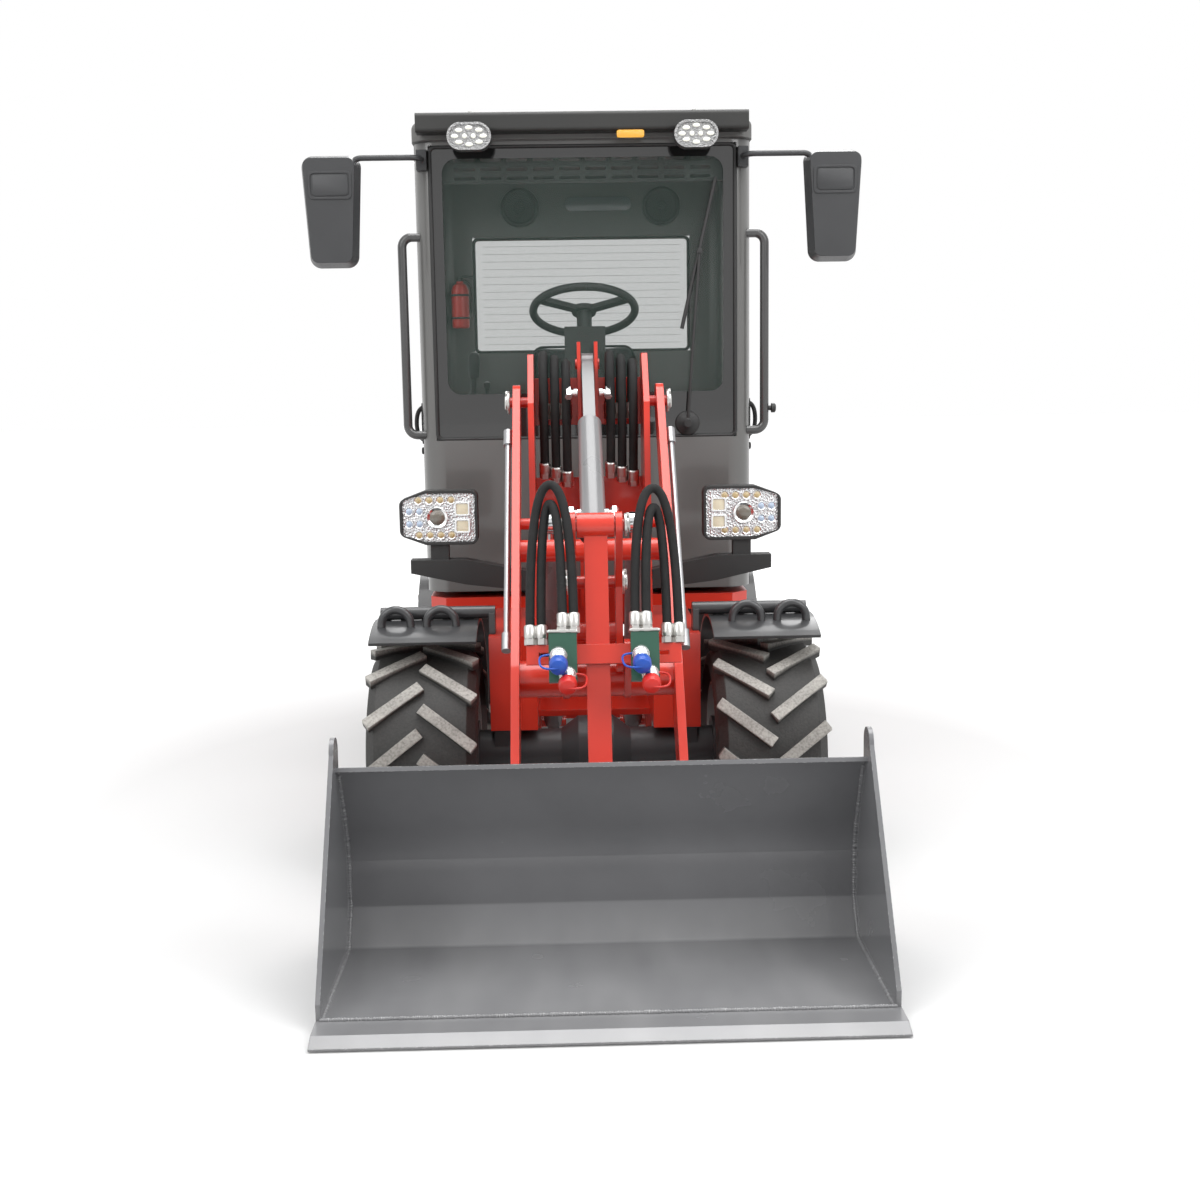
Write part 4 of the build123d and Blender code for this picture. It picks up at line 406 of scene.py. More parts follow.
# %% Floor
FLOOR_HALF, FLOOR_DROP = 40.0, 0.0005
FADE_NEAR, FADE_FAR = 1.8, 4.6
GLOW_NEAR, GLOW_FAR = 0.04, 0.75
bpy.ops.mesh.primitive_plane_add(size=2 * FLOOR_HALF, location=(0, 0, cad_low.z - FLOOR_DROP))
floor = bpy.context.object
floor.name = "floor"
sheet, matt, node, link = new_finish("floor_sheet")
matt.inputs["Base Color"].default_value = (0.60, 0.60, 0.60, 1)
matt.inputs["Roughness"].default_value = 0.9
ray = node("LightPath").outputs
direct = node("Math", {0: ray["Is Camera Ray"], 1: ray["Is Glossy Ray"]}, operation="MAXIMUM")
reach = node("VectorMath", {0: node("TexCoord").outputs["Object"]}, operation="LENGTH")
fade = node("MapRange", {"Value": reach.outputs["Value"], "From Min": FADE_NEAR, "From Max": FADE_FAR})
fade.inputs["To Min"].default_value = GLOW_NEAR
fade.inputs["To Max"].default_value = GLOW_FAR
share = node("Math", {0: direct.outputs[0], 1: fade.outputs[0]}, operation="MULTIPLY")
glow = node("Emission", {"Strength": share.outputs[0]})
both = node("AddShader", {0: matt.outputs[0], 1: glow.outputs[0]})
surface = sheet.node_tree.nodes["Material Output"].inputs["Surface"]
sheet.node_tree.links.new(both.outputs[0], surface)
floor.data.materials.append(sheet)
floor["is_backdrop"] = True
print("floor", 2 * FLOOR_HALF, "m wide")

# %% Lamps
def area_lamp(name, place, aim, width, power):
    """A soft square lamp that looks at a point."""
    data = bpy.data.lights.new(name, "AREA")
    data.size = width
    data.energy = power
    lamp = placed(name, data)
    lamp.location = place
    lamp.rotation_euler = (Vector(aim) - Vector(place)).to_track_quat("-Z", "Y").to_euler()


area_lamp("top_lamp", (0.2, -0.6, 5.5), (0, -0.6, 0.8), 4.0, 230)
area_lamp("left_lamp", (-4.0, -3.8, 4.4), (0, -0.5, 0.9), 3.5, 150)
area_lamp("right_lamp", (4.0, -3.8, 4.4), (0, -0.5, 0.9), 3.5, 165)
area_lamp("back_lamp", (0.3, 4.6, 5.0), (0, -0.6, 0.6), 3.5, 190)
bpy.context.scene.view_settings.view_transform = "Standard"
print("lamps", len(bpy.data.lights))

# %% [markdown]
# Small parts are turned, swept or cut from sheet on the real machine, so three helpers make nearly all of
# them: a lathe that spins a profile round an axis, a tube that follows a few points, and a slab cut from
# an outline. A fourth joins the result into one object, smooths its round faces and ties it to a body.

# %% Turned parts
def fore(distance):
    """A place along the machine, ahead of the pivot between its halves."""
    return JOINT_Y - distance


def aft(distance):
    """A place along the machine, behind the pivot."""
    return JOINT_Y + distance


def lathe(bm, place, axis, profile, sides=24):
    """Spin (along, radius) pairs round an axis; a radius of 0 closes an end."""
    spin = Vector(axis).to_track_quat("Z", "Y").to_matrix()
    rings = []
    for along, radius in profile:
        count = sides if radius > 0 else 1
        ring = []
        for step in range(count):
            turn = 2 * math.pi * step / sides
            point = Vector((radius * math.cos(turn), radius * math.sin(turn), along))
            ring.append(bm.verts.new(Vector(place) + spin @ point))
        rings.append(ring)
    for low, high in zip(rings, rings[1:]):
        for step in range(sides):
            corners = [low[step % len(low)], low[(step + 1) % len(low)]]
            corners += [high[(step + 1) % len(high)], high[step % len(high)]]
            corners = list(dict.fromkeys(corners))
            if len(corners) > 2:
                bm.faces.new(corners)


print("lathe ready")

# %% Swept parts
def swept_curve(name, points, radius, closed=False, order=3):
    """A tube along a NURBS line whose control points are the route."""
    curve = bpy.data.curves.new(name, "CURVE")
    curve.dimensions = "3D"
    curve.bevel_depth = radius
    curve.bevel_resolution = 4
    curve.use_fill_caps = True
    curve.resolution_u = 12
    spline = curve.splines.new("NURBS")
    spline.points.add(len(points) - 1)
    for control, point in zip(spline.points, points):
        control.co = (*point, 1)
    spline.order_u = min(order, len(points))
    spline.use_cyclic_u = closed
    spline.use_endpoint_u = not closed
    return placed(name, curve)


def evaluated_mesh(made):
    """A plain mesh of an object with its curve or modifiers worked out."""
    graph = bpy.context.evaluated_depsgraph_get()
    return bpy.data.meshes.new_from_object(made.evaluated_get(graph))


def take_up(bm, holder):
    """Add what a helper object makes to a growing mesh, and remove the helper."""
    mesh = evaluated_mesh(holder)
    bm.from_mesh(mesh)
    bpy.data.objects.remove(holder)
    bpy.data.meshes.remove(mesh)


def tube(bm, points, radius, closed=False, order=3):
    """Add a swept tube to a growing mesh."""
    take_up(bm, swept_curve("tube", points, radius, closed, order))


print("tube ready")

# %% Parts cut from sheet
def slab(bm, outline, origin, across, up, thick, soft=0.0):
    """Cut a flat outline of (across, up) pairs from sheet; it grows away from the face."""
    across, up = Vector(across), Vector(up)
    away = across.cross(up)
    rows = []
    for shift in (Vector(), away * thick):
        rows.append([bm.verts.new(Vector(origin) + across * a + up * b + shift) for a, b in outline])
    faces = [bm.faces.new(row) for row in rows]
    count = len(outline)
    for step in range(count):
        after = (step + 1) % count
        faces.append(bm.faces.new((rows[0][step], rows[0][after], rows[1][after], rows[1][step])))
    if soft:
        edges = list({edge for face in faces[:2] for edge in face.edges})
        bmesh.ops.bevel(bm, geom=edges, offset=soft, segments=2, affect="EDGES", profile=0.5)


def round_rect(width, height, radius, steps=5):
    """The outline of a rectangle with round corners, about its middle."""
    outline = []
    for quarter, (sx, sy) in enumerate(((1, 1), (-1, 1), (-1, -1), (1, -1))):
        middle_a, middle_b = sx * (width / 2 - radius), sy * (height / 2 - radius)
        for step in range(steps + 1):
            turn = math.pi / 2 * (quarter + step / steps)
            outline.append((middle_a + radius * math.cos(turn), middle_b + radius * math.sin(turn)))
    return outline


def ring_slab(bm, outer, inner, origin, across, up, thick):
    """A flat frame between two outlines with the same count of points."""
    across, up = Vector(across), Vector(up)
    away = across.cross(up) * thick
    loops = []
    for outline, shift in ((outer, Vector()), (inner, Vector()), (inner, away), (outer, away)):
        loops.append([bm.verts.new(Vector(origin) + across * a + up * b + shift) for a, b in outline])
    count = len(outer)
    for low, high in zip(loops, loops[1:] + loops[:1]):
        for step in range(count):
            after = (step + 1) % count
            bm.faces.new((low[step], low[after], high[after], high[step]))


print("slab ready")

# %% Finished pieces
def grown_mesh(name, bm):
    """Close a growing mesh and give it a name."""
    mesh = bpy.data.meshes.new(name)
    bm.to_mesh(mesh)
    bm.free()
    return mesh


def piece(name, bm, body, material):
    """Finish a growing mesh as one object that rides on a body."""
    bmesh.ops.recalc_face_normals(bm, faces=bm.faces)
    mesh = grown_mesh(name, bm)
    mesh.materials.clear()
    mesh.materials.append(material)
    mesh.shade_smooth()
    mesh.set_sharp_from_angle(angle=math.radians(35))
    made = placed(name, mesh)
    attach(made, body)
    print(name, len(mesh.polygons), "faces on", body)


print("helpers for small parts ready")

# %% [markdown]
# Bolts, lamp diodes and louvres repeat, so Geometry Nodes set them out. One tree deals a thing round a
# circle and the other deals it along a line. Each is turned into a plain mesh at once, and several rows
# can be gathered into one piece.

# %% Trees that repeat a thing
def repeat_tree(name, inputs, source_kind):
    """A tree that deals a thing on the points of a source, with one named input for each size."""
    tree = bpy.data.node_groups.new(name, "GeometryNodeTree")
    tree.interface.new_socket("Geometry", in_out="OUTPUT", socket_type="NodeSocketGeometry")
    for label, kind in (("Thing", "Object"), ("Finish", "Material"), *inputs):
        tree.interface.new_socket(label, in_out="INPUT", socket_type="NodeSocket" + kind)
    given = tree.nodes.new("NodeGroupInput")
    result = tree.nodes.new("NodeGroupOutput")
    source = tree.nodes.new("GeometryNode" + source_kind)
    thing = tree.nodes.new("GeometryNodeObjectInfo")
    dealt = tree.nodes.new("GeometryNodeInstanceOnPoints")
    moved = tree.nodes.new("GeometryNodeTransform")
    real = tree.nodes.new("GeometryNodeRealizeInstances")
    coat = tree.nodes.new("GeometryNodeSetMaterial")
    links = tree.links
    links.new(given.outputs["Thing"], thing.inputs["Object"])
    links.new(source.outputs["Mesh"], dealt.inputs["Points"])
    links.new(thing.outputs["Geometry"], dealt.inputs["Instance"])
    links.new(dealt.outputs[0], moved.inputs["Geometry"])
    links.new(moved.outputs[0], real.inputs[0])
    links.new(real.outputs[0], coat.inputs["Geometry"])
    links.new(given.outputs["Finish"], coat.inputs["Material"])
    links.new(coat.outputs[0], result.inputs[0])
    return tree, given, source, moved


print("tree maker ready")

# %% A ring and a row
ring_tree, given, circle, moved = repeat_tree(
    "deal_round",
    (("Count", "Int"), ("Radius", "Float"), ("Place", "Vector"), ("Turn", "Vector"), ("Stretch", "Vector")),
    "MeshCircle",
)
for label, socket in (
    ("Count", circle.inputs["Vertices"]),
    ("Radius", circle.inputs["Radius"]),
    ("Place", moved.inputs["Translation"]),
    ("Turn", moved.inputs["Rotation"]),
    ("Stretch", moved.inputs["Scale"]),
):
    ring_tree.links.new(given.outputs[label], socket)
row_tree, given, line, moved = repeat_tree(
    "deal_along", (("Count", "Int"), ("Step", "Vector"), ("Place", "Vector")), "MeshLine"
)
for label, socket in (
    ("Count", line.inputs["Count"]),
    ("Step", line.inputs["Offset"]),
    ("Place", moved.inputs["Translation"]),
):
    row_tree.links.new(given.outputs[label], socket)


def deal(bm, tree, thing, material, **values):
    """Run a repeat tree and add what it made to a growing mesh."""
    holder = placed("dealt", bpy.data.meshes.new("dealt"))
    modifier = holder.modifiers.new("deal", "NODES")
    modifier.node_group = tree
    values.update(Thing=thing, Finish=material)
    for item in tree.interface.items_tree:
        if item.in_out == "INPUT":
            modifier[item.identifier] = values[item.name]
    take_up(bm, holder)


print("trees ready:", ring_tree.name, row_tree.name)

# %% Things to deal
loose_things = []


def thing_from(name, fill):
    """A loose part for the trees to deal; it is removed once they have run."""
    bm = bmesh.new()
    fill(bm)
    bmesh.ops.recalc_face_normals(bm, faces=bm.faces)
    made = placed(name, grown_mesh(name, bm))
    loose_things.append(made)
    return made


ORIGIN, FRONT = (0, 0, 0), (0, -1, 0)
ACROSS, REAR_ACROSS, UP = (1, 0, 0), (-1, 0, 0), (0, 0, 1)


def hex_bolt(radius, high):
    """A bolt head with its washer, standing on a face that looks up."""
    washer_top, head_r = high * 0.2, radius * 0.8
    washer = ((0, 0), (0, radius), (washer_top, radius), (washer_top, 0))
    head = ((washer_top, 0), (washer_top, head_r), (high * 0.9, head_r), (high, radius * 0.6), (high, 0))

    def fill(bm):
        lathe(bm, ORIGIN, UP, washer)
        lathe(bm, ORIGIN, UP, head, 6)

    return fill


print("bolt maker ready")

# %% [markdown]
# The headlamps are the brightest spots of the photograph: a silver reflector full of diodes behind a clear
# cover. The housing with its pocket is a solid; here come the reflector plate, one round and two square
# projector lenses, and rows of amber and blue diodes set out by the tree.

# %% Finishes of the lamps
def facets(name, colour, rough, scale):
    """Pressed bright metal with small facets that break up reflections."""
    material, shader, node, link = new_finish(name)
    place = node("TexCoord").outputs["Object"]
    cells = node("TexVoronoi", {"Vector": place, "Scale": scale})
    link(mixed(node, cells.outputs[0], rgba(colour, 0.7), rgba(colour)), "Base Color")
    bumped(node, link, cells.outputs[0], 0.8, 0.004)
    shader.inputs["Metallic"].default_value = 0.6
    shader.inputs["Roughness"].default_value = rough
    return material


def lens_finish(name, colour, glow=0.0):
    """A moulded clear lens over a bright ground, with a ribbed face."""
    material, shader, node, link = new_finish(name)
    place = node("TexCoord").outputs["Object"]
    ribs = node("TexWave", {"Vector": place, "Scale": 120.0, "Distortion": 1.0})
    tone = mixed(node, ribs.outputs[0], rgba(colour, 0.75), rgba(colour, 1.15))
    link(tone, "Base Color")
    link(tone, "Emission Color")
    bumped(node, link, ribs.outputs[0], 0.25, 0.002)
    shader.inputs["Roughness"].default_value = 0.12
    shader.inputs["Coat Weight"].default_value = 0.8
    shader.inputs["Emission Strength"].default_value = glow
    return material


reflector = facets("reflector", (0.74, 0.75, 0.76), 0.22, 150.0)
amber_lens = lens_finish("amber_lens", (0.52, 0.40, 0.20), 0.10)
marker_lens = lens_finish("marker_lens", (0.75, 0.36, 0.02), 0.10)
warm_lens = lens_finish("warm_lens", (0.74, 0.68, 0.50), 0.15)
smoked_lens = lens_finish("smoked_lens", (0.17, 0.15, 0.12))
white_lens = lens_finish("white_lens", (0.80, 0.80, 0.72), 0.25)
blue_lens = lens_finish("blue_lens", (0.42, 0.52, 0.66), 0.1)
red_lens = lens_finish("red_lens", (0.45, 0.015, 0.012), 0.1)
dark_lens = lens_finish("dark_lens", (0.16, 0.17, 0.18), 0.0)
bright_metal = metal("bright_metal", (0.80, 0.80, 0.80), rough=0.15)

print("lamp finishes ready")

# %% Sizes and diodes of the headlamps
LAMP_W, LAMP_H, LAMP_RIM, LAMP_TAPER = 0.258, 0.180, 0.010, 0.032
POCKET_DEEP, REFLECTOR_T = 0.010, 0.002
DIODE_R, DIODE_HIGH, BEZEL_R = 0.0105, 0.006, 0.015
ROW_STEP, ROW_RISE, ROW_HALF, ROW_SHIFT = 0.036, 0.058, 0.062, 0.004
PAIR_STEP, PAIR_RISE, PAIR_OUT = 0.034, 0.021, 0.064
SQUARE_IN, SQUARE_RISE, EYE_SHIFT = 0.078, 1.35 * PAIR_RISE, 0.005
lamp_low, lamp_high = corners_of("headlamps")
lamp_x = lamp_high.x - LAMP_W / 2
lamp_z = (lamp_low.z + lamp_high.z) / 2
pocket_y = lamp_low.y + POCKET_DEEP
face_y = pocket_y - REFLECTOR_T


def dome(radius, deep, axis=FRONT):
    """A low round lens for the trees to deal."""
    profile = ((0, 0), (0, radius), (deep * 0.5, radius * 0.92), (deep * 0.9, radius * 0.5), (deep, 0))
    return lambda bm: lathe(bm, ORIGIN, axis, profile, 16)


def scaled(outline, share_a, share_b=None):
    """An outline made smaller about its middle."""
    return [(a * share_a, b * (share_b or share_a)) for a, b in outline]


bezel_profile = ((0, 0), (0, BEZEL_R), (0.005, BEZEL_R - 0.001), (0.002, DIODE_R), (0.001, 0))
diode = thing_from("diode", dome(DIODE_R, DIODE_HIGH))
bezel = thing_from("bezel", lambda bm: lathe(bm, ORIGIN, FRONT, bezel_profile, 20))
plates, ambers, blues, lenses, eyes, rims = (bmesh.new() for _ in range(6))


def diode_row(bm, lens, count, step, first):
    """A row of diodes, each in a bright bezel."""
    for grown, thing, finish in ((rims, bezel, bright_metal), (bm, diode, lens)):
        deal(grown, row_tree, thing, finish, Count=count, Step=(step, 0, 0), Place=first)


print("headlamps", round(2 * lamp_x, 3), "m apart")

# %% Headlamps
half_w, half_h = LAMP_W / 2 - LAMP_RIM, LAMP_H / 2 - LAMP_RIM
plate = [(-half_w, -half_h), (LAMP_W / 6, -half_h), (half_w, -LAMP_H / 2 + LAMP_TAPER)]
plate += [(a, -b) for a, b in reversed(plate)]
square = round_rect(0.050, 0.046, 0.006)
eye_rim = ((0, 0.026), (0.006, 0.036), (0.008, 0.034), (0.002, 0.024))
eye_lens = ((0, 0), (0, 0.027), (0.004, 0.024), (0.008, 0.014), (0.0095, 0))
for side in (1, -1):
    x = side * lamp_x
    slab(plates, [(side * a, b) for a, b in plate], (x, pocket_y, lamp_z), ACROSS, UP, REFLECTOR_T)
    for above in (1, -1):
        row_z = lamp_z + above * ROW_RISE
        diode_row(ambers, amber_lens, 4, ROW_STEP, (x - ROW_HALF + side * ROW_SHIFT, face_y, row_z))
    for above in (1, -1):
        pair_at = (x + side * PAIR_OUT, face_y, lamp_z + above * PAIR_RISE)
        diode_row(blues, blue_lens, 2, side * PAIR_STEP, pair_at)
        square_at = (x - side * SQUARE_IN, face_y, lamp_z + above * SQUARE_RISE)
        ring_slab(rims, square, scaled(square, 0.78), square_at, ACROSS, UP, 0.006)
        slab(lenses, scaled(square, 0.76), square_at, ACROSS, UP, 0.003, 0.001)
    eye_at = (x + side * EYE_SHIFT, face_y, lamp_z)
    lathe(rims, eye_at, FRONT, eye_rim, 32)
    lathe(eyes, eye_at, FRONT, eye_lens, 32)
piece("lamp_reflectors", plates, "front", reflector)
piece("lamp_bezels", rims, "front", bright_metal)
piece("lamp_ambers", ambers, "front", amber_lens)
piece("lamp_blues", blues, "front", blue_lens)
piece("lamp_projectors", lenses, "front", warm_lens)
piece("lamp_eyes", eyes, "front", smoked_lens)

# %% [markdown]
# Oval work lamps hang under the visor. Each face is a bright dish with a ring of eight diodes round two
# more. The ring tree is stretched sideways, so that the ring follows the oval.

# %% Sizes and diodes of the work lamps
WORK_W, WORK_H, WORK_RIM = 0.152, 0.092, 0.008
WORK_IN, WORK_UP, REAR_LAMP_DROP = 0.215, 0.024, 0.015
DISH_T, REAR_LENS_T = 0.0015, 0.002
CAB_REAR_Y = aft(0.735)
REAR_LAMP_Y = CAB_REAR_Y + 0.050
work_low, work_high = corners_of("work_lamps")
work_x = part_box("cab_roof")[1][0] - WORK_IN
work_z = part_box("roof_visor")[0][2] + WORK_UP - WORK_H / 2
work_dish = facets("work_dish", (0.30, 0.30, 0.30), 0.30, 220.0)
dishes, diodes = bmesh.new(), bmesh.new()
small_diode = thing_from("small_diode", dome(0.0085, 0.005))
ring_diode = thing_from("ring_diode", dome(0.0075, 0.005, UP))


def oval(width, height, steps=32):
    """An outline with straight top and bottom and round ends."""
    radius = height / 2
    outline = []
    for step in range(steps):
        turn = math.pi * 2 * (step + 0.5) / steps
        end = math.copysign(width / 2 - radius, math.cos(turn))
        outline.append((end + radius * math.cos(turn), radius * math.sin(turn)))
    return outline


dish_edge = oval(WORK_W, WORK_H)
dish_face = oval(WORK_W - 2 * WORK_RIM, WORK_H - 2 * WORK_RIM)
print("work lamps", round(2 * work_x, 3), "m apart")

# %% Work lamps
DIODE_RING, DIODE_GAP = 0.028, 0.030
for side in (1, -1):
    spot = (side * work_x, work_low.y, work_z)
    ring_slab(dishes, dish_edge, dish_face, spot, ACROSS, UP, 0.006)
    slab(dishes, dish_face, spot, ACROSS, UP, DISH_T)
    face = Vector(spot) - Vector((0, DISH_T, 0))
    deal(
        diodes, ring_tree, ring_diode, white_lens, Count=8, Radius=DIODE_RING, Place=tuple(face),
        Turn=(math.pi / 2, 0, 0), Stretch=(1.75, 1.0, 1.0),
    )
    first = face - Vector((DIODE_GAP / 2, 0, 0))
    deal(diodes, row_tree, small_diode, white_lens, Count=2, Step=(DIODE_GAP, 0, 0), Place=tuple(first))
piece("work_dishes", dishes, "rear", work_dish)
piece("work_diodes", diodes, "rear", white_lens)

# %% [markdown]
# The rear has two more oval work lamps, seen here with a closed lens, and red tail lamps on the
# counterweight. They look backwards, so their faces are laid out from right to left.

# %% Rear work lamps and tail lamps
TAIL_W, TAIL_H, TAIL_Z, TAIL_EDGE = 0.110, 0.060, 0.690, 0.008
tails, rear_lamps = bmesh.new(), bmesh.new()
tail_x = work_high.x - TAIL_W / 2
tail_lens = round_rect(TAIL_W - TAIL_EDGE, TAIL_H - TAIL_EDGE, 0.008)
back_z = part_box("cab_rear")[1][2] - REAR_LAMP_DROP - WORK_H / 2
for side in (1, -1):
    slab(tails, tail_lens, (side * tail_x, work_high.y, TAIL_Z), REAR_ACROSS, UP, 0.006, 0.0015)
    back = (side * work_x, REAR_LAMP_Y, back_z)
    ring_slab(rear_lamps, dish_edge, dish_face, back, REAR_ACROSS, UP, 0.005)
    slab(rear_lamps, dish_face, back, REAR_ACROSS, UP, REAR_LENS_T)
piece("tail_lenses", tails, "rear", red_lens)
piece("rear_work_faces", rear_lamps, "rear", work_dish)

# %% [markdown]
# A windscreen is bonded into its frame behind a black printed border, which hides the glue from the sun.
# It is a flat frame just proud of the glass, wider at the foot.

# %% Windscreen border
border_black, shader, node, link = new_finish("border_black")
haze = node("TexNoise", {"Vector": node("TexCoord").outputs["Object"], "Scale": 5.0})
link(mixed(node, haze.outputs[0], rgba((0.006, 0.006, 0.006)), rgba((0.016, 0.016, 0.016))), "Base Color")
shader.inputs["Roughness"].default_value = 0.10
shader.inputs["Coat Weight"].default_value = 1.0
seal_rubber = moulded("seal_rubber", (0.012, 0.012, 0.012), rough=0.5)

BORDER_SIDE, BORDER_TOP, BORDER_FOOT = 0.046, 0.045, 0.165
BORDER_T, BORDER_GAP, BORDER_INSET = 0.0012, 0.0003, 0.001
glass_low, glass_high = corners_of("cab_glass")
screen_w, screen_h = 2 * glass_high.x, glass_high.z - glass_low.z
border = bmesh.new()
outer = round_rect(screen_w - 2 * BORDER_INSET, screen_h - 2 * BORDER_INSET, 0.012)
inner_h = screen_h - BORDER_TOP - BORDER_FOOT
rise = (BORDER_FOOT - BORDER_TOP) / 2
inner = [(a, b + rise) for a, b in round_rect(screen_w - 2 * BORDER_SIDE, inner_h, 0.050)]
screen_middle = (0, glass_low.y - BORDER_GAP, (glass_low.z + glass_high.z) / 2)
ring_slab(border, outer, inner, screen_middle, ACROSS, UP, BORDER_T)
piece("screen_border", border, "rear", border_black)

# %% [markdown]
# A rubber seal runs round the windscreen and the rear pane, swept along a rectangle with round corners. The
# rear pane also has fine heater wires, set out by the row tree.

# %% Seals and heater wires
SEAL_R, SEAL_OUT, SEAL_INSET = 0.007, 0.006, 0.004
REAR_PANE_LOW, REAR_PANE_HIGH, REAR_PANE_HALF = 1.620, 2.080, 0.440
seals = bmesh.new()
for y, low_z, high_z, half in (
    (glass_low.y - SEAL_OUT, glass_low.z, glass_high.z, screen_w / 2),
    (glass_high.y + SEAL_OUT, REAR_PANE_LOW, REAR_PANE_HIGH, REAR_PANE_HALF),
):
    corners = round_rect(2 * (half - SEAL_INSET), high_z - low_z - 2 * SEAL_INSET, 0.020)
    tube(seals, [(a, y, (low_z + high_z) / 2 + b) for a, b in corners], SEAL_R, closed=True, order=2)
piece("screen_seals", seals, "rear", seal_rubber)

WIRE_HALF, WIRE_R, WIRE_COUNT, WIRE_STEP = 0.40, 0.0006, 14, 0.030
first = (0, glass_high.y - 0.0075, REAR_PANE_LOW + 0.035)
wires = bmesh.new()
wire = thing_from("wire", lambda bm: tube(bm, [(-WIRE_HALF, 0, 0), (WIRE_HALF, 0, 0)], WIRE_R, order=2))
deal(wires, row_tree, wire, dark_lens, Count=WIRE_COUNT, Step=(0, 0, WIRE_STEP), Place=first)
piece("heater_wires", wires, "rear", dark_lens)

# %% [markdown]
# Hydraulic hoses are stiff cords with a known length and a crimped steel ferrule at each end. Each is one
# NURBS line whose control points are the route of the solid it stands for, so it lies in the same place;
# its length is measured from the line before it gets its thickness.

# %% Hose rubber
sleeve, shader, node, link = new_finish("hose_sleeve")
place = node("TexCoord").outputs["Object"]
weave = node("TexWave", {"Vector": place, "Scale": 160.0, "Distortion": 2.0}, bands_direction="Z")
scuff = node("TexNoise", {"Vector": place, "Scale": 30.0, "Detail": 5.0})
link(mixed(node, scuff.outputs[0], rgba((0.004, 0.004, 0.004)), rgba((0.018, 0.018, 0.018))), "Base Color")
bumped(node, link, weave.outputs[0], 0.35, 0.002)
shader.inputs["Roughness"].default_value = 0.70
shader.inputs["Specular IOR Level"].default_value = 0.3
print("hose rubber ready")

# %% Hoses and ferrules
def line_length(points):
    """The length of the smooth line through a route's control points."""
    holder = swept_curve("line", points, 0.0)
    mesh = evaluated_mesh(holder)
    ends = [[mesh.vertices[index].co for index in edge.vertices] for edge in mesh.edges]
    length = sum((a - b).length for a, b in ends)
    bpy.data.objects.remove(holder)
    bpy.data.meshes.remove(mesh)
    return length


def hose(name, points, radius, body, node_name):
    """One hose along its route, in place of the solid it stands for, which is hidden."""
    made = swept_curve(name, points, radius)
    made.data.materials.append(sleeve)
    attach(made, body)
    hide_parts(node_name)
    length = line_length(points)
    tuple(points[0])
    print(name, round(length, 3), "m")


def ferrules(bm, points, radius):
    """A crimped sleeve and a hexagon at both ends of a hose."""
    crimp_r, hex_r = radius * 1.3, radius * 1.28
    crimp = ((0.018, 0), (0.018, radius * 1.22), (0.024, crimp_r))
    crimp += ((0.052, crimp_r), (0.056, radius * 1.1), (0.056, 0))
    hexagon = ((0, 0), (0, hex_r), (0.017, hex_r), (0.019, radius), (0.019, 0))
    for end, after in ((points[0], points[1]), (points[-1], points[-2])):
        axis = Vector(after) - Vector(end)
        lathe(bm, end, axis, crimp, 20)
        lathe(bm, end, axis, hexagon, 6)


print("hose helpers ready")

# %% Hoses over the tower
HOSE_R = 0.015
HOSE_XS = (-0.150, -0.112, -0.074, 0.074, 0.112, 0.150)
HOSE_CREST, CREST_STEP, HOSE_FOOT = 1.605, 0.014, 1.380
HOSE_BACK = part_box("tower_hoses")[1][1] - HOSE_R
tower_ends = bmesh.new()
for number, x in enumerate(HOSE_XS):
    crest = HOSE_CREST - CREST_STEP * (number % 3)
    route = [
        (x, HOSE_BACK, HOSE_FOOT),
        (x, HOSE_BACK, crest),
        (x, HOSE_BACK - 0.110, crest - 0.015),
        (x, HOSE_BACK - 0.125, crest - 0.210),
        (x, HOSE_BACK - 0.060, crest - 0.420),
    ]
    hose(f"tower_hose_{number + 1}", route, HOSE_R, "front", "tower_hoses")
    ferrules(tower_ends, route, HOSE_R)
piece("tower_ferrules", tower_ends, "front", steel)

# %% Hose loops on the link
link_top = Vector((0, fore(1.277), 1.112))
link_foot = Vector((0, fore(1.486), 0.433))
link_down = (link_foot - link_top).normalized()
link_out = Vector((0, link_down.z, -link_down.y))


def on_link(x, out, down):
    """A point given across the link, out from its face and down from its top pin."""
    return link_top + Vector((x, 0, 0)) + link_out * out + link_down * down


LOOP_R = 0.013
LOOPS = ((-0.066, -0.188, -0.110), (-0.097, -0.157, -0.055), (0.103, 0.226, -0.095), (0.134, 0.194, -0.040))
BLOCK_TOP = 0.3127
link_ends = bmesh.new()
for number, (x_block, x_bar, crest) in enumerate(LOOPS):
    route = [
        on_link(x_block, 0.057, BLOCK_TOP),
        on_link(x_block, 0.057, crest),
        on_link(x_bar, 0.0175, crest),
        on_link(x_bar, 0.0175, 0.3402),
    ]
    hose(f"coupler_hose_{number + 1}", route, LOOP_R, "link", "coupler_hoses")
    ferrules(link_ends, route, LOOP_R)
piece("coupler_ferrules", link_ends, "link", steel)

# %% [markdown]
# Quick couplers join a tool's hoses. Each is a knurled steel sleeve that slides back to let go, closed here
# by a coloured dust cap on a short strap: blue above, red below. They are turned parts, so the lathe makes
# them, on the noses of the green blocks.

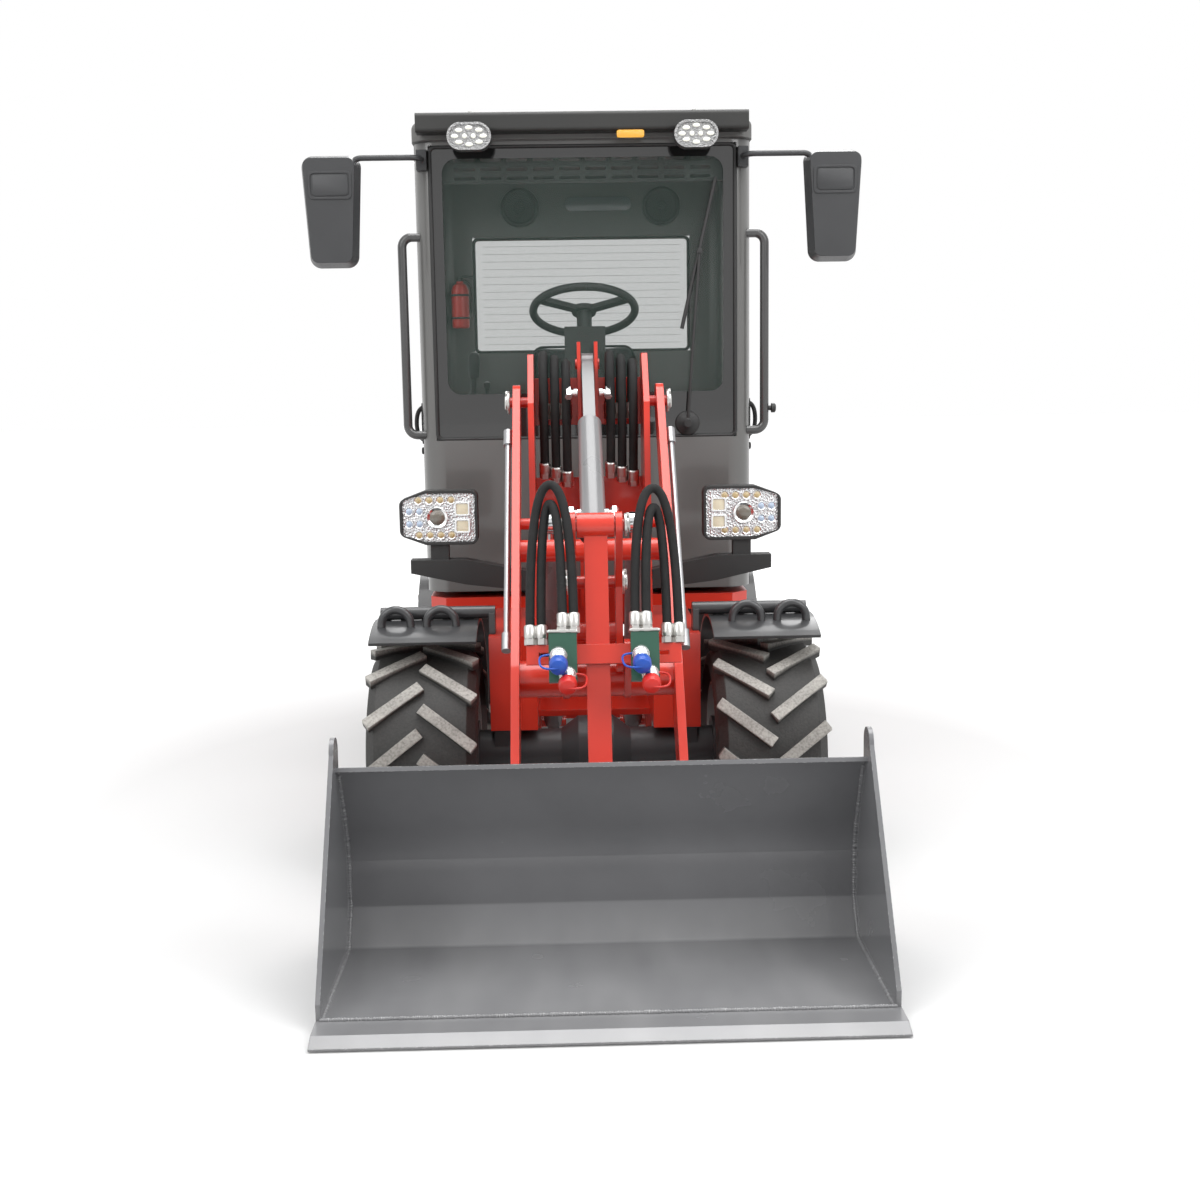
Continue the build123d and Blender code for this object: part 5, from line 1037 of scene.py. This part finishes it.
# %% Quick couplers with dust caps
blue_cap = moulded("blue_cap", (0.010, 0.075, 0.42), rough=0.35, strength=0.1)
red_cap = moulded("red_cap", (0.55, 0.020, 0.014), rough=0.35, strength=0.1)
sleeves, plates = bmesh.new(), bmesh.new()
caps = {blue_cap: bmesh.new(), red_cap: bmesh.new()}
nose_axis = (link_out * 0.85 + link_down * 0.53).normalized()
BLOCK_XS, BLOCK_H = (-0.098, 0.128), 0.135
COLLAR_R, SLEEVE_R, RIDGE_R, CAP_R, STRAP_R = 0.024, 0.0205, 0.0225, 0.0255, 0.003
RIDGES, RIDGE_STEP = 5, 0.006
knurled = [(0.004, 0), (0.004, COLLAR_R), (0.014, COLLAR_R), (0.014, SLEEVE_R)]
for ridge in range(RIDGES):
    foot = 0.020 + ridge * RIDGE_STEP
    knurled += [(foot, SLEEVE_R), (foot + 0.001, RIDGE_R), (foot + 0.004, RIDGE_R)]
knurled += [(0.052, SLEEVE_R), (0.060, SLEEVE_R), (0.060, 0)]
cap_profile = ((0.058, 0), (0.058, 0.0245), (0.062, CAP_R), (0.080, CAP_R))
cap_profile += ((0.090, 0.022), (0.096, 0.012), (0.097, 0))
for x in BLOCK_XS:
    plate_at = on_link(x, 0.0475, BLOCK_TOP - 0.001)
    slab(plates, round_rect(0.086, 0.050, 0.006), plate_at, ACROSS, link_out * -1, 0.007, 0.001)
    for down, lean, finish in ((0.42, -0.012, blue_cap), (0.82, 0.012, red_cap)):
        nose = on_link(x + lean, 0.066, BLOCK_TOP + down * BLOCK_H)
        lathe(sleeves, nose, nose_axis, knurled)
        lathe(caps[finish], nose, nose_axis, cap_profile)
        away = Vector((math.copysign(1, lean), 0, 0))
        strap_route = ((0, 0.094), (0.045, 0.104), (0.055, 0.030), (0.040, 0.008), (0.020, 0.008))
        strap = [nose + away * aside + nose_axis * out for aside, out in strap_route]
        tube(caps[finish], strap, STRAP_R)
piece("coupler_sleeves", sleeves, "link", bright_metal)
piece("block_plates", plates, "link", steel)
piece("blue_caps", caps[blue_cap], "link", blue_cap)
piece("red_caps", caps[red_cap], "link", red_cap)

# %% [markdown]
# Every pin of the loader arms shows a greased end with a keeper: a thick washer, a round pin end and a
# small bolt that stops it turning. One helper makes such an end, and it is set at each pivot on the body
# that holds the pin.

# %% Pin ends
def pin_end(bm, place, axis, radius):
    """Washer, pin end and keeper bolt on the outside of a plate."""
    washer_r = radius * 1.5
    turned = ((0, 0), (0, washer_r), (0.006, washer_r), (0.007, radius * 1.42), (0.007, radius))
    turned += ((0.013, radius), (0.016, radius * 0.85), (0.016, 0))
    keeper = ((0.006, 0), (0.006, 0.009), (0.013, 0.009), (0.014, 0.007), (0.014, 0))
    lathe(bm, place, axis, turned, 32)
    lathe(bm, Vector(place) + Vector((0, 0, radius * 1.2)), axis, keeper, 6)


def pins_at(name, body, spot, half, radius):
    """Both ends of a pin that lies across the machine, half its length to each side."""
    bm = bmesh.new()
    for side in (1, -1):
        pin_end(bm, (side * half, spot[1], spot[2]), (side, 0, 0), radius)
    piece(name, bm, body, steel)


ROD_PIN = Vector((0, fore(1.187), 0.937))
TOWER_HALF, LEVER_PIN_HALF, ROD_PIN_HALF = 0.2645, 0.102, 0.076
pins_at("boom_pivot_ends", "front", pivot_of("boom_lift"), TOWER_HALF, 0.026)
pins_at("coupler_pivot_ends", "boom", pivot_of("bucket_tilt"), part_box("boom")[1][0], 0.024)
pins_at("lever_pivot_ends", "boom", pivot_of("lever_turn"), LEVER_PIN_HALF, 0.024)
pins_at("link_pin_ends", "lever", pivot_of("link_turn"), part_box("lever")[1][0], 0.022)
pins_at("rod_pin_ends", "lever", ROD_PIN, ROD_PIN_HALF, 0.024)

# %% [markdown]
# The tilt cylinder ends in a dark screwed gland that carries the rod seal, and has two ports with tee
# fittings. They are turned and swept about the cylinder's own line, from the tail pin to the rod pin.

# %% Cylinder fittings
GLAND_BACK, PORT_NEAR, PORT_FAR = 0.205, 0.160, 0.300
PORT_X, PORT_LONG, TEE_BACK, TEE_LONG = 0.036, 0.030, 0.020, 0.044
tail_pin = pivot_of("tilt_cylinder_turn")
tilt_line = (ROD_PIN - tail_pin).normalized()
tilt_long = (ROD_PIN - tail_pin).length
mouth = tail_pin + tilt_line * (tilt_long - GLAND_BACK)
gland, fittings = bmesh.new(), bmesh.new()
collar = ((-0.004, 0.026), (-0.004, 0.043), (0.004, 0.046), (0.036, 0.046))
collar += ((0.040, 0.0415), (0.040, 0.039), (-0.004, 0.026))
lathe(gland, mouth, -tilt_line, collar, 32)
piece("tilt_gland", gland, "tilt_barrel", black_plastic)
port = ((0, 0), (0, 0.014), (0.012, 0.014), (0.012, 0.010), (PORT_LONG, 0.010), (PORT_LONG, 0))
tee = ((0, 0), (0, 0.013), (TEE_LONG, 0.013), (TEE_LONG, 0))
for along in (PORT_NEAR, tilt_long - PORT_FAR):
    for side in (1, -1):
        root = tail_pin + tilt_line * along + Vector((side * PORT_X, 0, 0))
        lathe(fittings, root, (side, 0, 0), port, 16)
        tee_at = root + Vector((side * PORT_LONG, 0, 0)) - tilt_line * TEE_BACK
        lathe(fittings, tee_at, tilt_line, tee, 6)
piece("tilt_fittings", fittings, "tilt_barrel", bright_metal)

# %% [markdown]
# The front wings are clipped to a cross tube with two hoop clamps each. A hoop is a tube bent over half a
# turn, standing on a foot plate.

# %% Wing clamps
HOOP_R, HOOP_TUBE, HOOP_STEPS = 0.046, 0.013, 8
HOOPS_IN = (0.075, 0.215)
clamps = bmesh.new()
wing_high = corners_of("front_fenders")[1]
tube_y = pivot_of("wheel_front_left_spin").y
tube_z = wing_high.z - 0.022
hoop_y, hoop_z, hoop_foot = tube_y - 0.075, tube_z - 0.020, tube_z - 0.055
turns = [math.pi * step / HOOP_STEPS for step in range(HOOP_STEPS + 1)]
for side in (1, -1):
    for inward in HOOPS_IN:
        x = side * (wing_high.x - inward)
        bow = [(x + HOOP_R * math.cos(turn), hoop_y, hoop_z + HOOP_R * math.sin(turn)) for turn in turns]
        hoop = [(x + HOOP_R, hoop_y, hoop_foot), *bow, (x - HOOP_R, hoop_y, hoop_foot)]
        tube(clamps, hoop, HOOP_TUBE)
        foot_at = (x, tube_y - 0.060, tube_z - 0.048)
        slab(clamps, round_rect(0.110, 0.030, 0.008), foot_at, ACROSS, UP, 0.030, 0.003)
piece("wing_clamps", clamps, "front", wing_plastic)

# %% [markdown]
# The wiper sweeps from a motor cover at the foot of the screen. Arm and blade are thin swept bars with a
# small bridge between them, parked leaning over on the driver's left.

# %% Wiper
wiper = bmesh.new()
wipe_y = glass_low.y - 0.030
motor = Vector((0.366, glass_low.y - 0.004, 1.350))
arm_end = Vector((0.412, wipe_y, 1.960))
arm = [motor + Vector((0, -0.020, 0)), motor + Vector((0.006, -0.028, 0.100)), arm_end]
blade = [
    Vector((0.347, wipe_y + 0.012, 1.688)),
    Vector((0.410, wipe_y + 0.008, 1.955)),
    Vector((0.470, wipe_y + 0.012, 2.215)),
]
lip = [point + Vector((0, inward, 0)) for point, inward in zip(blade, (0.006, 0.010, 0.006))]
for line, radius in ((arm, 0.006), (blade, 0.007), (lip, 0.004)):
    tube(wiper, line, radius)
bridge = ((0, 0), (0, 0.012), (0.022, 0.010), (0.024, 0))
lathe(wiper, arm_end + Vector((0, 0.012, 0)), FRONT, bridge, 16)
cover = ((-0.002, 0), (-0.002, 0.045), (0.012, 0.042), (0.024, 0.020), (0.034, 0.014), (0.034, 0))
lathe(wiper, motor, FRONT, cover)
piece("wiper", wiper, "rear", black_plastic)

# %% [markdown]
# Mirror glass faces the driver, on the back of each housing, and narrows to the foot as the housing does.
# The fronts of the housings have a raised panel at the top, moulded with a step.

# %% Mirrors
silver = metal("silver", (0.86, 0.87, 0.88), rough=0.02, brushed=0.01)
MIRROR_W, MIRROR_FOOT_W, MIRROR_H, MIRROR_DEEP = 0.212, 0.168, 0.384, 0.070
PANE_EDGE, CROWN_UP = 0.011, 0.085
mirror_low, mirror_high = corners_of("mirrors")
mirror_x = mirror_high.x - MIRROR_W / 2
mirror_z = mirror_low.z + MIRROR_H / 2
mirror_back = fore(0.103) + MIRROR_DEEP / 2
panes, panels = bmesh.new(), bmesh.new()


def narrowed(outline, height):
    """Taper an outline towards its foot as the housing does."""
    foot = MIRROR_FOOT_W / MIRROR_W
    return [(a * (foot + (1 - foot) * (b / height + 0.5)), b) for a, b in outline]


pane = narrowed(round_rect(MIRROR_W - 2 * PANE_EDGE, MIRROR_H - 2 * PANE_EDGE, 0.034), MIRROR_H)
panel = round_rect(0.150, 0.095, 0.016)
for side in (1, -1):
    slab(panes, pane, (side * mirror_x, mirror_back, mirror_z), REAR_ACROSS, UP, 0.0025, 0.001)
    crown = (side * mirror_x, mirror_low.y, mirror_z + CROWN_UP)
    ring_slab(panels, panel, scaled(panel, 0.90, 0.84), crown, ACROSS, UP, 0.003)
    slab(panels, scaled(panel, 0.84, 0.76), crown, ACROSS, UP, 0.002, 0.0008)
piece("mirror_panes", panes, "rear", silver)
piece("mirror_panels", panels, "rear", fender_plastic)

# %% [markdown]
# Wheels are held by nuts round the hub. The ring tree deals a nut that stands on its Z axis round a circle
# and then turns the whole ring to face outwards. Every wheel is a body that turns by itself, so each gets
# its own ring, with a cap that closes the spindle.

# %% Wheel nuts and hub caps
NUT_RING, NUT_COUNT, DISC_FACE = 0.076, 8, 0.414
nut = thing_from("nut", hex_bolt(0.0125, 0.018))
spindle_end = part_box("front_axle")[1][0]
hub_cap = ((0.001, 0), (0.001, 0.040), (0.006, 0.040), (0.012, 0.032), (0.014, 0))
for end in ("front", "rear"):
    axle = pivot_of(f"wheel_{end}_left_spin")
    for label, side in (("left", 1), ("right", -1)):
        nuts = bmesh.new()
        disc = (side * DISC_FACE, axle.y, axle.z)
        deal(
            nuts, ring_tree, nut, steel, Count=NUT_COUNT, Radius=NUT_RING, Place=disc,
            Turn=(0, side * math.pi / 2, 0), Stretch=(1.0, 1.0, 1.0),
        )
        lathe(nuts, (side * spindle_end, axle.y, axle.z), (side, 0, 0), hub_cap)
        piece(f"wheel_nuts_{end}_{label}", nuts, f"wheel_{end}_{label}", steel)

# %% [markdown]
# The bucket is folded from plate, with its sides and its cutting edge welded on. A weld is a row of small
# overlapping ripples, so a tree walks along a path, sets a bead at every step and varies the size of each
# one a little with a fixed seed.

# %% Tree that lays a weld
weld_tree = bpy.data.node_groups.new("weld_along", "GeometryNodeTree")
weld_tree.interface.new_socket("Geometry", in_out="OUTPUT", socket_type="NodeSocketGeometry")
weld_inputs = [("Path", "Object"), ("Finish", "Material")]
weld_inputs += [("Pitch", "Float"), ("Bead", "Float"), ("Seed", "Int")]
for label, kind in weld_inputs:
    weld_tree.interface.new_socket(label, in_out="INPUT", socket_type="NodeSocket" + kind)
given = weld_tree.nodes.new("NodeGroupInput")
result = weld_tree.nodes.new("NodeGroupOutput")
path_in = weld_tree.nodes.new("GeometryNodeObjectInfo")
walk = weld_tree.nodes.new("GeometryNodeResampleCurve")
walk.mode = "LENGTH"
bead = weld_tree.nodes.new("GeometryNodeMeshIcoSphere")
bead.inputs["Subdivisions"].default_value = 2
vary = weld_tree.nodes.new("FunctionNodeRandomValue")
vary.inputs[2].default_value = 0.8
vary.inputs[3].default_value = 1.2
dealt = weld_tree.nodes.new("GeometryNodeInstanceOnPoints")
real = weld_tree.nodes.new("GeometryNodeRealizeInstances")
coat = weld_tree.nodes.new("GeometryNodeSetMaterial")
for output, socket in (
    (given.outputs["Path"], path_in.inputs["Object"]),
    (path_in.outputs["Geometry"], walk.inputs["Curve"]),
    (given.outputs["Pitch"], walk.inputs["Length"]),
    (walk.outputs["Curve"], dealt.inputs["Points"]),
    (given.outputs["Bead"], bead.inputs["Radius"]),
    (bead.outputs["Mesh"], dealt.inputs["Instance"]),
    (given.outputs["Seed"], vary.inputs["Seed"]),
    (vary.outputs[1], dealt.inputs["Scale"]),
    (dealt.outputs[0], real.inputs[0]),
    (real.outputs[0], coat.inputs["Geometry"]),
    (given.outputs["Finish"], coat.inputs["Material"]),
    (coat.outputs[0], result.inputs[0]),
):
    weld_tree.links.new(output, socket)

print("weld tree ready")

# %% Seams of the bucket
WELD_PITCH, WELD_BEAD = 0.007, 0.0062
FLOOR_TOP, EDGE_TOP = 0.016, 0.0255
shell_low, shell_high = corners_of("bucket_shell")
edge_back, side_x = shell_low.y, shell_high.x - 0.001
welds = bmesh.new()
seam = [(edge_back, FLOOR_TOP), (fore(1.640), FLOOR_TOP), (fore(1.572), 0.108), (fore(1.568), 0.240)]
seam += [(fore(1.577), 0.290), (fore(1.598), 0.345), (fore(1.672), 0.505)]
seams = [[(side * side_x, y, z) for y, z in seam] for side in (1, -1)]
seams.append([(-side_x, edge_back, EDGE_TOP), (side_x, edge_back, EDGE_TOP)])
for number, points in enumerate(seams):
    line = swept_curve("seam", points, 0.0, order=2)
    deal(welds, weld_tree, None, bucket_paint, Path=line, Pitch=WELD_PITCH, Bead=WELD_BEAD, Seed=number)
    bpy.data.objects.remove(line)
piece("bucket_welds", welds, "bucket", bucket_paint)

# %% [markdown]
# Through the windscreen one sees a red fire bottle on the rear wall, beside the window. It is a turned
# bottle with a valve, a grip and a spout, held by two bands that stand on feet. It carries no marks.

# %% Fire bottle
WALL_T = 0.045
wall_y = CAB_REAR_Y - WALL_T
bottle, fittings = bmesh.new(), bmesh.new()
BOTTLE_R, BOTTLE_OUT, BAND_R = 0.035, 0.060, 0.037
bottle_at = Vector((-0.490, wall_y - BOTTLE_OUT, 1.720))


def on_bottle(points):
    """A line given from the middle of the bottle's foot."""
    return [bottle_at + Vector(point) for point in points]


body_profile = ((0, 0), (0, 0.030), (0.006, BOTTLE_R), (0.150, BOTTLE_R))
body_profile += ((0.169, 0.027), (0.177, 0.014), (0.184, 0.014), (0.184, 0))
valve = ((0.183, 0), (0.183, 0.012), (0.197, 0.012), (0.200, 0.008), (0.200, 0))
grip = ((0, -0.008, 0.197), (0.026, -0.022, 0.207), (0.056, -0.030, 0.197))
spout = ((0.008, 0, 0.192), (0.045, 0, 0.180), (0.046, 0, 0.120), (0.043, 0, 0.060))
lathe(bottle, bottle_at, UP, body_profile, 32)
lathe(fittings, bottle_at, UP, valve, 16)
tube(fittings, on_bottle(grip), 0.005)
tube(fittings, on_bottle(spout), 0.005)
turns = [math.pi * 2 * step / 16 for step in range(16)]
for height in (0.040, 0.130):
    band = [(BAND_R * math.cos(turn), BAND_R * math.sin(turn), height) for turn in turns]
    tube(fittings, on_bottle(band), 0.004, closed=True)
    foot = bottle_at + Vector((0, BOTTLE_OUT, height))
    slab(fittings, round_rect(0.030, 0.030, 0.004), foot, ACROSS, UP, 0.026)
piece("fire_bottle", bottle, "rear", red_cap)
piece("bottle_fittings", fittings, "rear", black_plastic)

# %% [markdown]
# Two round loudspeakers and a long lamp are fixed to the rear wall above the window. A loudspeaker is a
# turned part with a cone that dips behind its rim, and the lamp is a slab with round ends.

# %% Loudspeakers and room lamp
SPEAKER_MIDDLE, SPEAKER_OUT, SPEAKER_Z = 0.040, 0.285, 2.195
speakers, room_lamp = bmesh.new(), bmesh.new()
cone = ((0, 0), (0, 0.078), (0.012, 0.076), (0.014, 0.066), (0.006, 0.058))
cone += ((0.003, 0.022), (0.010, 0.018), (0.012, 0))
for side in (1, -1):
    lathe(speakers, (SPEAKER_MIDDLE + side * SPEAKER_OUT, wall_y, SPEAKER_Z), FRONT, cone, 40)
slab(room_lamp, oval(0.270, 0.058), (0.070, wall_y, 2.205), ACROSS, UP, 0.022, 0.006)
piece("loudspeakers", speakers, "rear", black_plastic)
piece("room_lamp", room_lamp, "rear", dark_lens)

# %% [markdown]
# A joystick in a rubber gaiter and three small levers stand on the console beside the seat. They are all
# turned parts, tilted a little towards the front.

# %% Hand controls
CONSOLE_X, CONSOLE_TOP, SEAT_Y = 0.430, 1.420, aft(0.470)
controls = bmesh.new()
stick = Vector((-CONSOLE_X, SEAT_Y - 0.160, CONSOLE_TOP))
gaiter = ((0, 0.045), (0.012, 0.042), (0.020, 0.030), (0.030, 0.032))
gaiter += ((0.040, 0.020), (0.048, 0.016), (0.050, 0))
handle = ((0.040, 0.011), (0.100, 0.011), (0.105, 0.019), (0.150, 0.023))
handle += ((0.185, 0.022), (0.200, 0.012), (0.202, 0))
small_lever = ((0, 0.012), (0.010, 0.006), (0.060, 0.005), (0.065, 0.011), (0.085, 0.011), (0.090, 0))
lathe(controls, stick, UP, gaiter)
lathe(controls, stick, (0.05, -0.10, 1.0), handle)
for step in range(3):
    lathe(controls, stick + Vector((0.050, 0.060 + 0.045 * step, 0)), (0, -0.15, 1), small_lever, 16)
piece("hand_controls", controls, "rear", black_plastic)

# %% [markdown]
# Each door has a pull handle with a lock, and rubber beads that follow its two panes, inside and out. They
# swing with the door, so each side is a piece of its own.

# %% Door handles and pane seals
CAB_HALF, HANDLE_Z, HANDLE_IN, HANDLE_OUT, LOCK_DOWN = 0.600, 1.360, 0.032, 0.026, 0.100
LOWER_BEAD_TOP, UPPER_BEAD_FOOT, BEAD_INSET, BEAD_R = 1.125, 1.175, 0.003, 0.006
lock = ((0, 0), (0, 0.013), (0.008, 0.013), (0.010, 0.010), (0.010, 0))
for label, side in (("left", 1), ("right", -1)):
    door_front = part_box(f"door_{label}")[0][1]
    glass_in, glass_out = corners_of(f"door_glass_{label}")
    grip, beads = bmesh.new(), bmesh.new()
    pull = Vector((side * CAB_HALF, door_front + HANDLE_IN, HANDLE_Z))
    slab(grip, round_rect(0.040, 0.150, 0.016), pull, (0, side, 0), UP, 0.006, 0.002)
    bar = ((0, -0.060), (HANDLE_OUT, -0.050), (HANDLE_OUT, 0.050), (0, 0.060))
    tube(grip, [pull + Vector((side * out, 0, up)) for out, up in bar], 0.008)
    lathe(grip, pull - Vector((0, 0, LOCK_DOWN)), (side, 0, 0), lock, 20)
    piece(f"door_handle_{label}", grip, f"door_{label}", black_plastic)
    middle_y, bead_w = (glass_in.y + glass_out.y) / 2, glass_out.y - glass_in.y - 2 * BEAD_INSET
    for low_z, high_z in ((glass_in.z, LOWER_BEAD_TOP), (UPPER_BEAD_FOOT, glass_out.z)):
        corners = round_rect(bead_w, high_z - low_z - 2 * BEAD_INSET, 0.018)
        for x in (glass_in.x, glass_out.x):
            ring = [(x, middle_y + a, (low_z + high_z) / 2 + b) for a, b in corners]
            tube(beads, ring, BEAD_R, closed=True, order=2)
    piece(f"pane_seals_{label}", beads, f"door_{label}", seal_rubber)

# %% [markdown]
# The engine hood breathes through pressed louvres in its sides. A louvre is a half-round ridge, and the
# row tree deals ten of them. A T-handle latch holds the hood shut at the back.

# %% Hood louvres and latch
LOUVRE_H, LOUVRE_R, LOUVRE_OUT, LOUVRE_END = 0.185, 0.009, 0.003, 0.012
LOUVRE_COUNT, LOUVRE_STEP, LOUVRE_Z, LATCH_Z = 10, 0.034, 1.000, 0.808
louvre_rows, latch = bmesh.new(), bmesh.new()
hood_low, hood_high = corners_of("hood")


def louvre(side):
    """One half-round ridge whose ends dip into the sheet."""
    half, flat = LOUVRE_H / 2, LOUVRE_H / 2 - LOUVRE_END
    ridge = [(0, 0, -half), (side * LOUVRE_OUT, 0, -flat), (side * LOUVRE_OUT, 0, flat), (0, 0, half)]
    return thing_from("louvre", lambda bm: tube(bm, ridge, LOUVRE_R))


for side in (1, -1):
    first = (side * (hood_high.x - 0.001), hood_low.y + 0.300, LOUVRE_Z)
    rows = {"Count": LOUVRE_COUNT, "Step": (0, LOUVRE_STEP, 0), "Place": first}
    deal(louvre_rows, row_tree, louvre(side), red_paint, **rows)
piece("hood_louvres", louvre_rows, "hood", red_paint)
latch_at = Vector((0, hood_high.y, LATCH_Z))
boss = ((-0.002, 0), (-0.002, 0.026), (0.004, 0.026), (0.006, 0.012), (0.016, 0.012), (0.016, 0))
lathe(latch, latch_at, (0, 1, 0), boss)
bar = ((-0.030, 0.016, 0), (0, 0.018, 0), (0.030, 0.016, 0))
tube(latch, [latch_at + Vector(point) for point in bar], 0.006)
piece("hood_latch", latch, "hood", black_plastic)

# %% [markdown]
# A few last fittings: the studs that hold the visor to the roof, an amber marker under it, and the knob on
# one grab rail that catches the open door.

# %% Studs, marker and knob
MARKER_X, MARKER_INSET, KNOB_UP = 0.166, 0.012, 0.095
top_bolt = thing_from("top_bolt", hex_bolt(0.008, 0.010))
visor_low, visor_high = corners_of("roof_visor")
studs, marker, knob = (bmesh.new() for _ in range(3))
first = (-work_x, (visor_low.y + visor_high.y) / 2, visor_high.z - 0.002)
deal(studs, row_tree, top_bolt, steel, Count=2, Step=(2 * work_x, 0, 0), Place=first)
piece("visor_studs", studs, "rear", steel)
marker_at = (MARKER_X, visor_low.y + MARKER_INSET, visor_low.z - MARKER_INSET)
slab(marker, round_rect(0.095, 0.026, 0.006), marker_at, ACROSS, UP, 0.012, 0.003)
piece("amber_marker", marker, "rear", marker_lens)
rail_low, rail_high = corners_of("grab_rails")
knob_at = (rail_high.x - 0.014, (rail_low.y + rail_high.y) / 2, rail_low.z + KNOB_UP)
ball = ((0.012, 0), (0.012, 0.009), (0.022, 0.009), (0.024, 0.017))
ball += ((0.036, 0.017), (0.040, 0.012), (0.040, 0))
lathe(knob, knob_at, ACROSS, ball)
piece("rail_knob", knob, "rear", black_plastic)

# %% [markdown]
# The seat is sprung foam under cloth, so its two cushions are blown up like the real thing: a slightly
# small, round-edged block is remeshed to even cells, the cloth solver presses it outwards for twenty
# frames without gravity, and no point may move further than a dozen millimetres. Piping then follows the
# edge where the cover is sewn.

# %% Blown blocks
CELL, INSET, SWELL, BLOCK_ROUND = 0.006, 0.012, 0.012, 0.030
PRESSURE, FRAMES = 4.0, 20
PIPING_R, PIPING_IN, PIPING_DOWN, PIPING_ROUND = 0.005, 0.015, 0.030, 0.045


def soft_block(name, low, high):
    """A round-edged block with even cells, a little smaller than its box."""
    bm = bmesh.new()
    bmesh.ops.create_cube(bm, size=1.0)
    size = high - low - Vector((2 * INSET,) * 3)
    bmesh.ops.scale(bm, vec=size, verts=bm.verts)
    bmesh.ops.translate(bm, vec=(low + high) / 2, verts=bm.verts)
    bmesh.ops.bevel(bm, geom=list(bm.edges), offset=BLOCK_ROUND, segments=4, affect="EDGES", profile=0.5)
    made = placed(name, grown_mesh(name, bm))
    remesh = made.modifiers.new("cells", "REMESH")
    remesh.mode = "VOXEL"
    remesh.voxel_size = CELL
    even = evaluated_mesh(made)
    made.modifiers.clear()
    made.data = even
    return made


def blown(made):
    """Let the cloth solver swell a block, with a cap on how far a point moves."""
    cloth = made.modifiers.new("cover", "CLOTH")
    cloth.settings.use_pressure = True
    cloth.settings.uniform_pressure_force = PRESSURE
    cloth.settings.effector_weights.gravity = 0.0
    cloth.point_cache.frame_start = 1
    cloth.point_cache.frame_end = FRAMES
    scene = bpy.context.scene
    for number in range(1, FRAMES + 1):
        scene.frame_set(number)
    swollen = evaluated_mesh(made)
    scene.frame_set(1)
    made.modifiers.clear()
    for rest, moved_to in zip(made.data.vertices, swollen.vertices):
        shift = moved_to.co - rest.co
        if shift.length > SWELL:
            shift = shift.normalized() * SWELL
        rest.co = rest.co + shift
    bpy.data.meshes.remove(swollen)


print("cushion makers ready")

# %% Seat cushions and piping
piping = bmesh.new()
for node_name in ("seat_cushion", "seat_back"):
    low, high = corners_of(node_name)
    cushion = soft_block(f"padded_{node_name}", low, high)
    blown(cushion)
    cushion.data.materials.clear()
    cushion.data.materials.append(seat_cloth)
    cushion.data.shade_smooth()
    finer = cushion.modifiers.new("finer", "SUBSURF")
    finer.levels = finer.render_levels = 1
    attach(cushion, "rear")
    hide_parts(node_name)
    middle, size = (low + high) / 2, high - low - Vector((2 * PIPING_IN,) * 3)
    if node_name == "seat_cushion":
        edge = round_rect(size.x, size.y, PIPING_ROUND)
        route = [(middle.x + a, middle.y + b, high.z - PIPING_DOWN) for a, b in edge]
    else:
        edge = round_rect(size.x, size.z, PIPING_ROUND)
        route = [(middle.x + a, low.y + PIPING_DOWN, middle.z + b) for a, b in edge]
    tube(piping, route, PIPING_R, closed=True)
    print(cushion.name, len(cushion.data.polygons), "cells")
piece("seat_piping", piping, "rear", seat_cloth)

# %% Clear the loose things away
for thing in loose_things:
    bpy.data.objects.remove(thing)
print("loose things removed", len(loose_things))

# %% [markdown]
# The last cell gives the size of the solids and of the dressed machine, so that the two can be compared.

# %% Sizes and finish
new_low, new_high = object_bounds()
{"cad": [list(cad_low), list(cad_high)], "visual": [list(new_low), list(new_high)]}
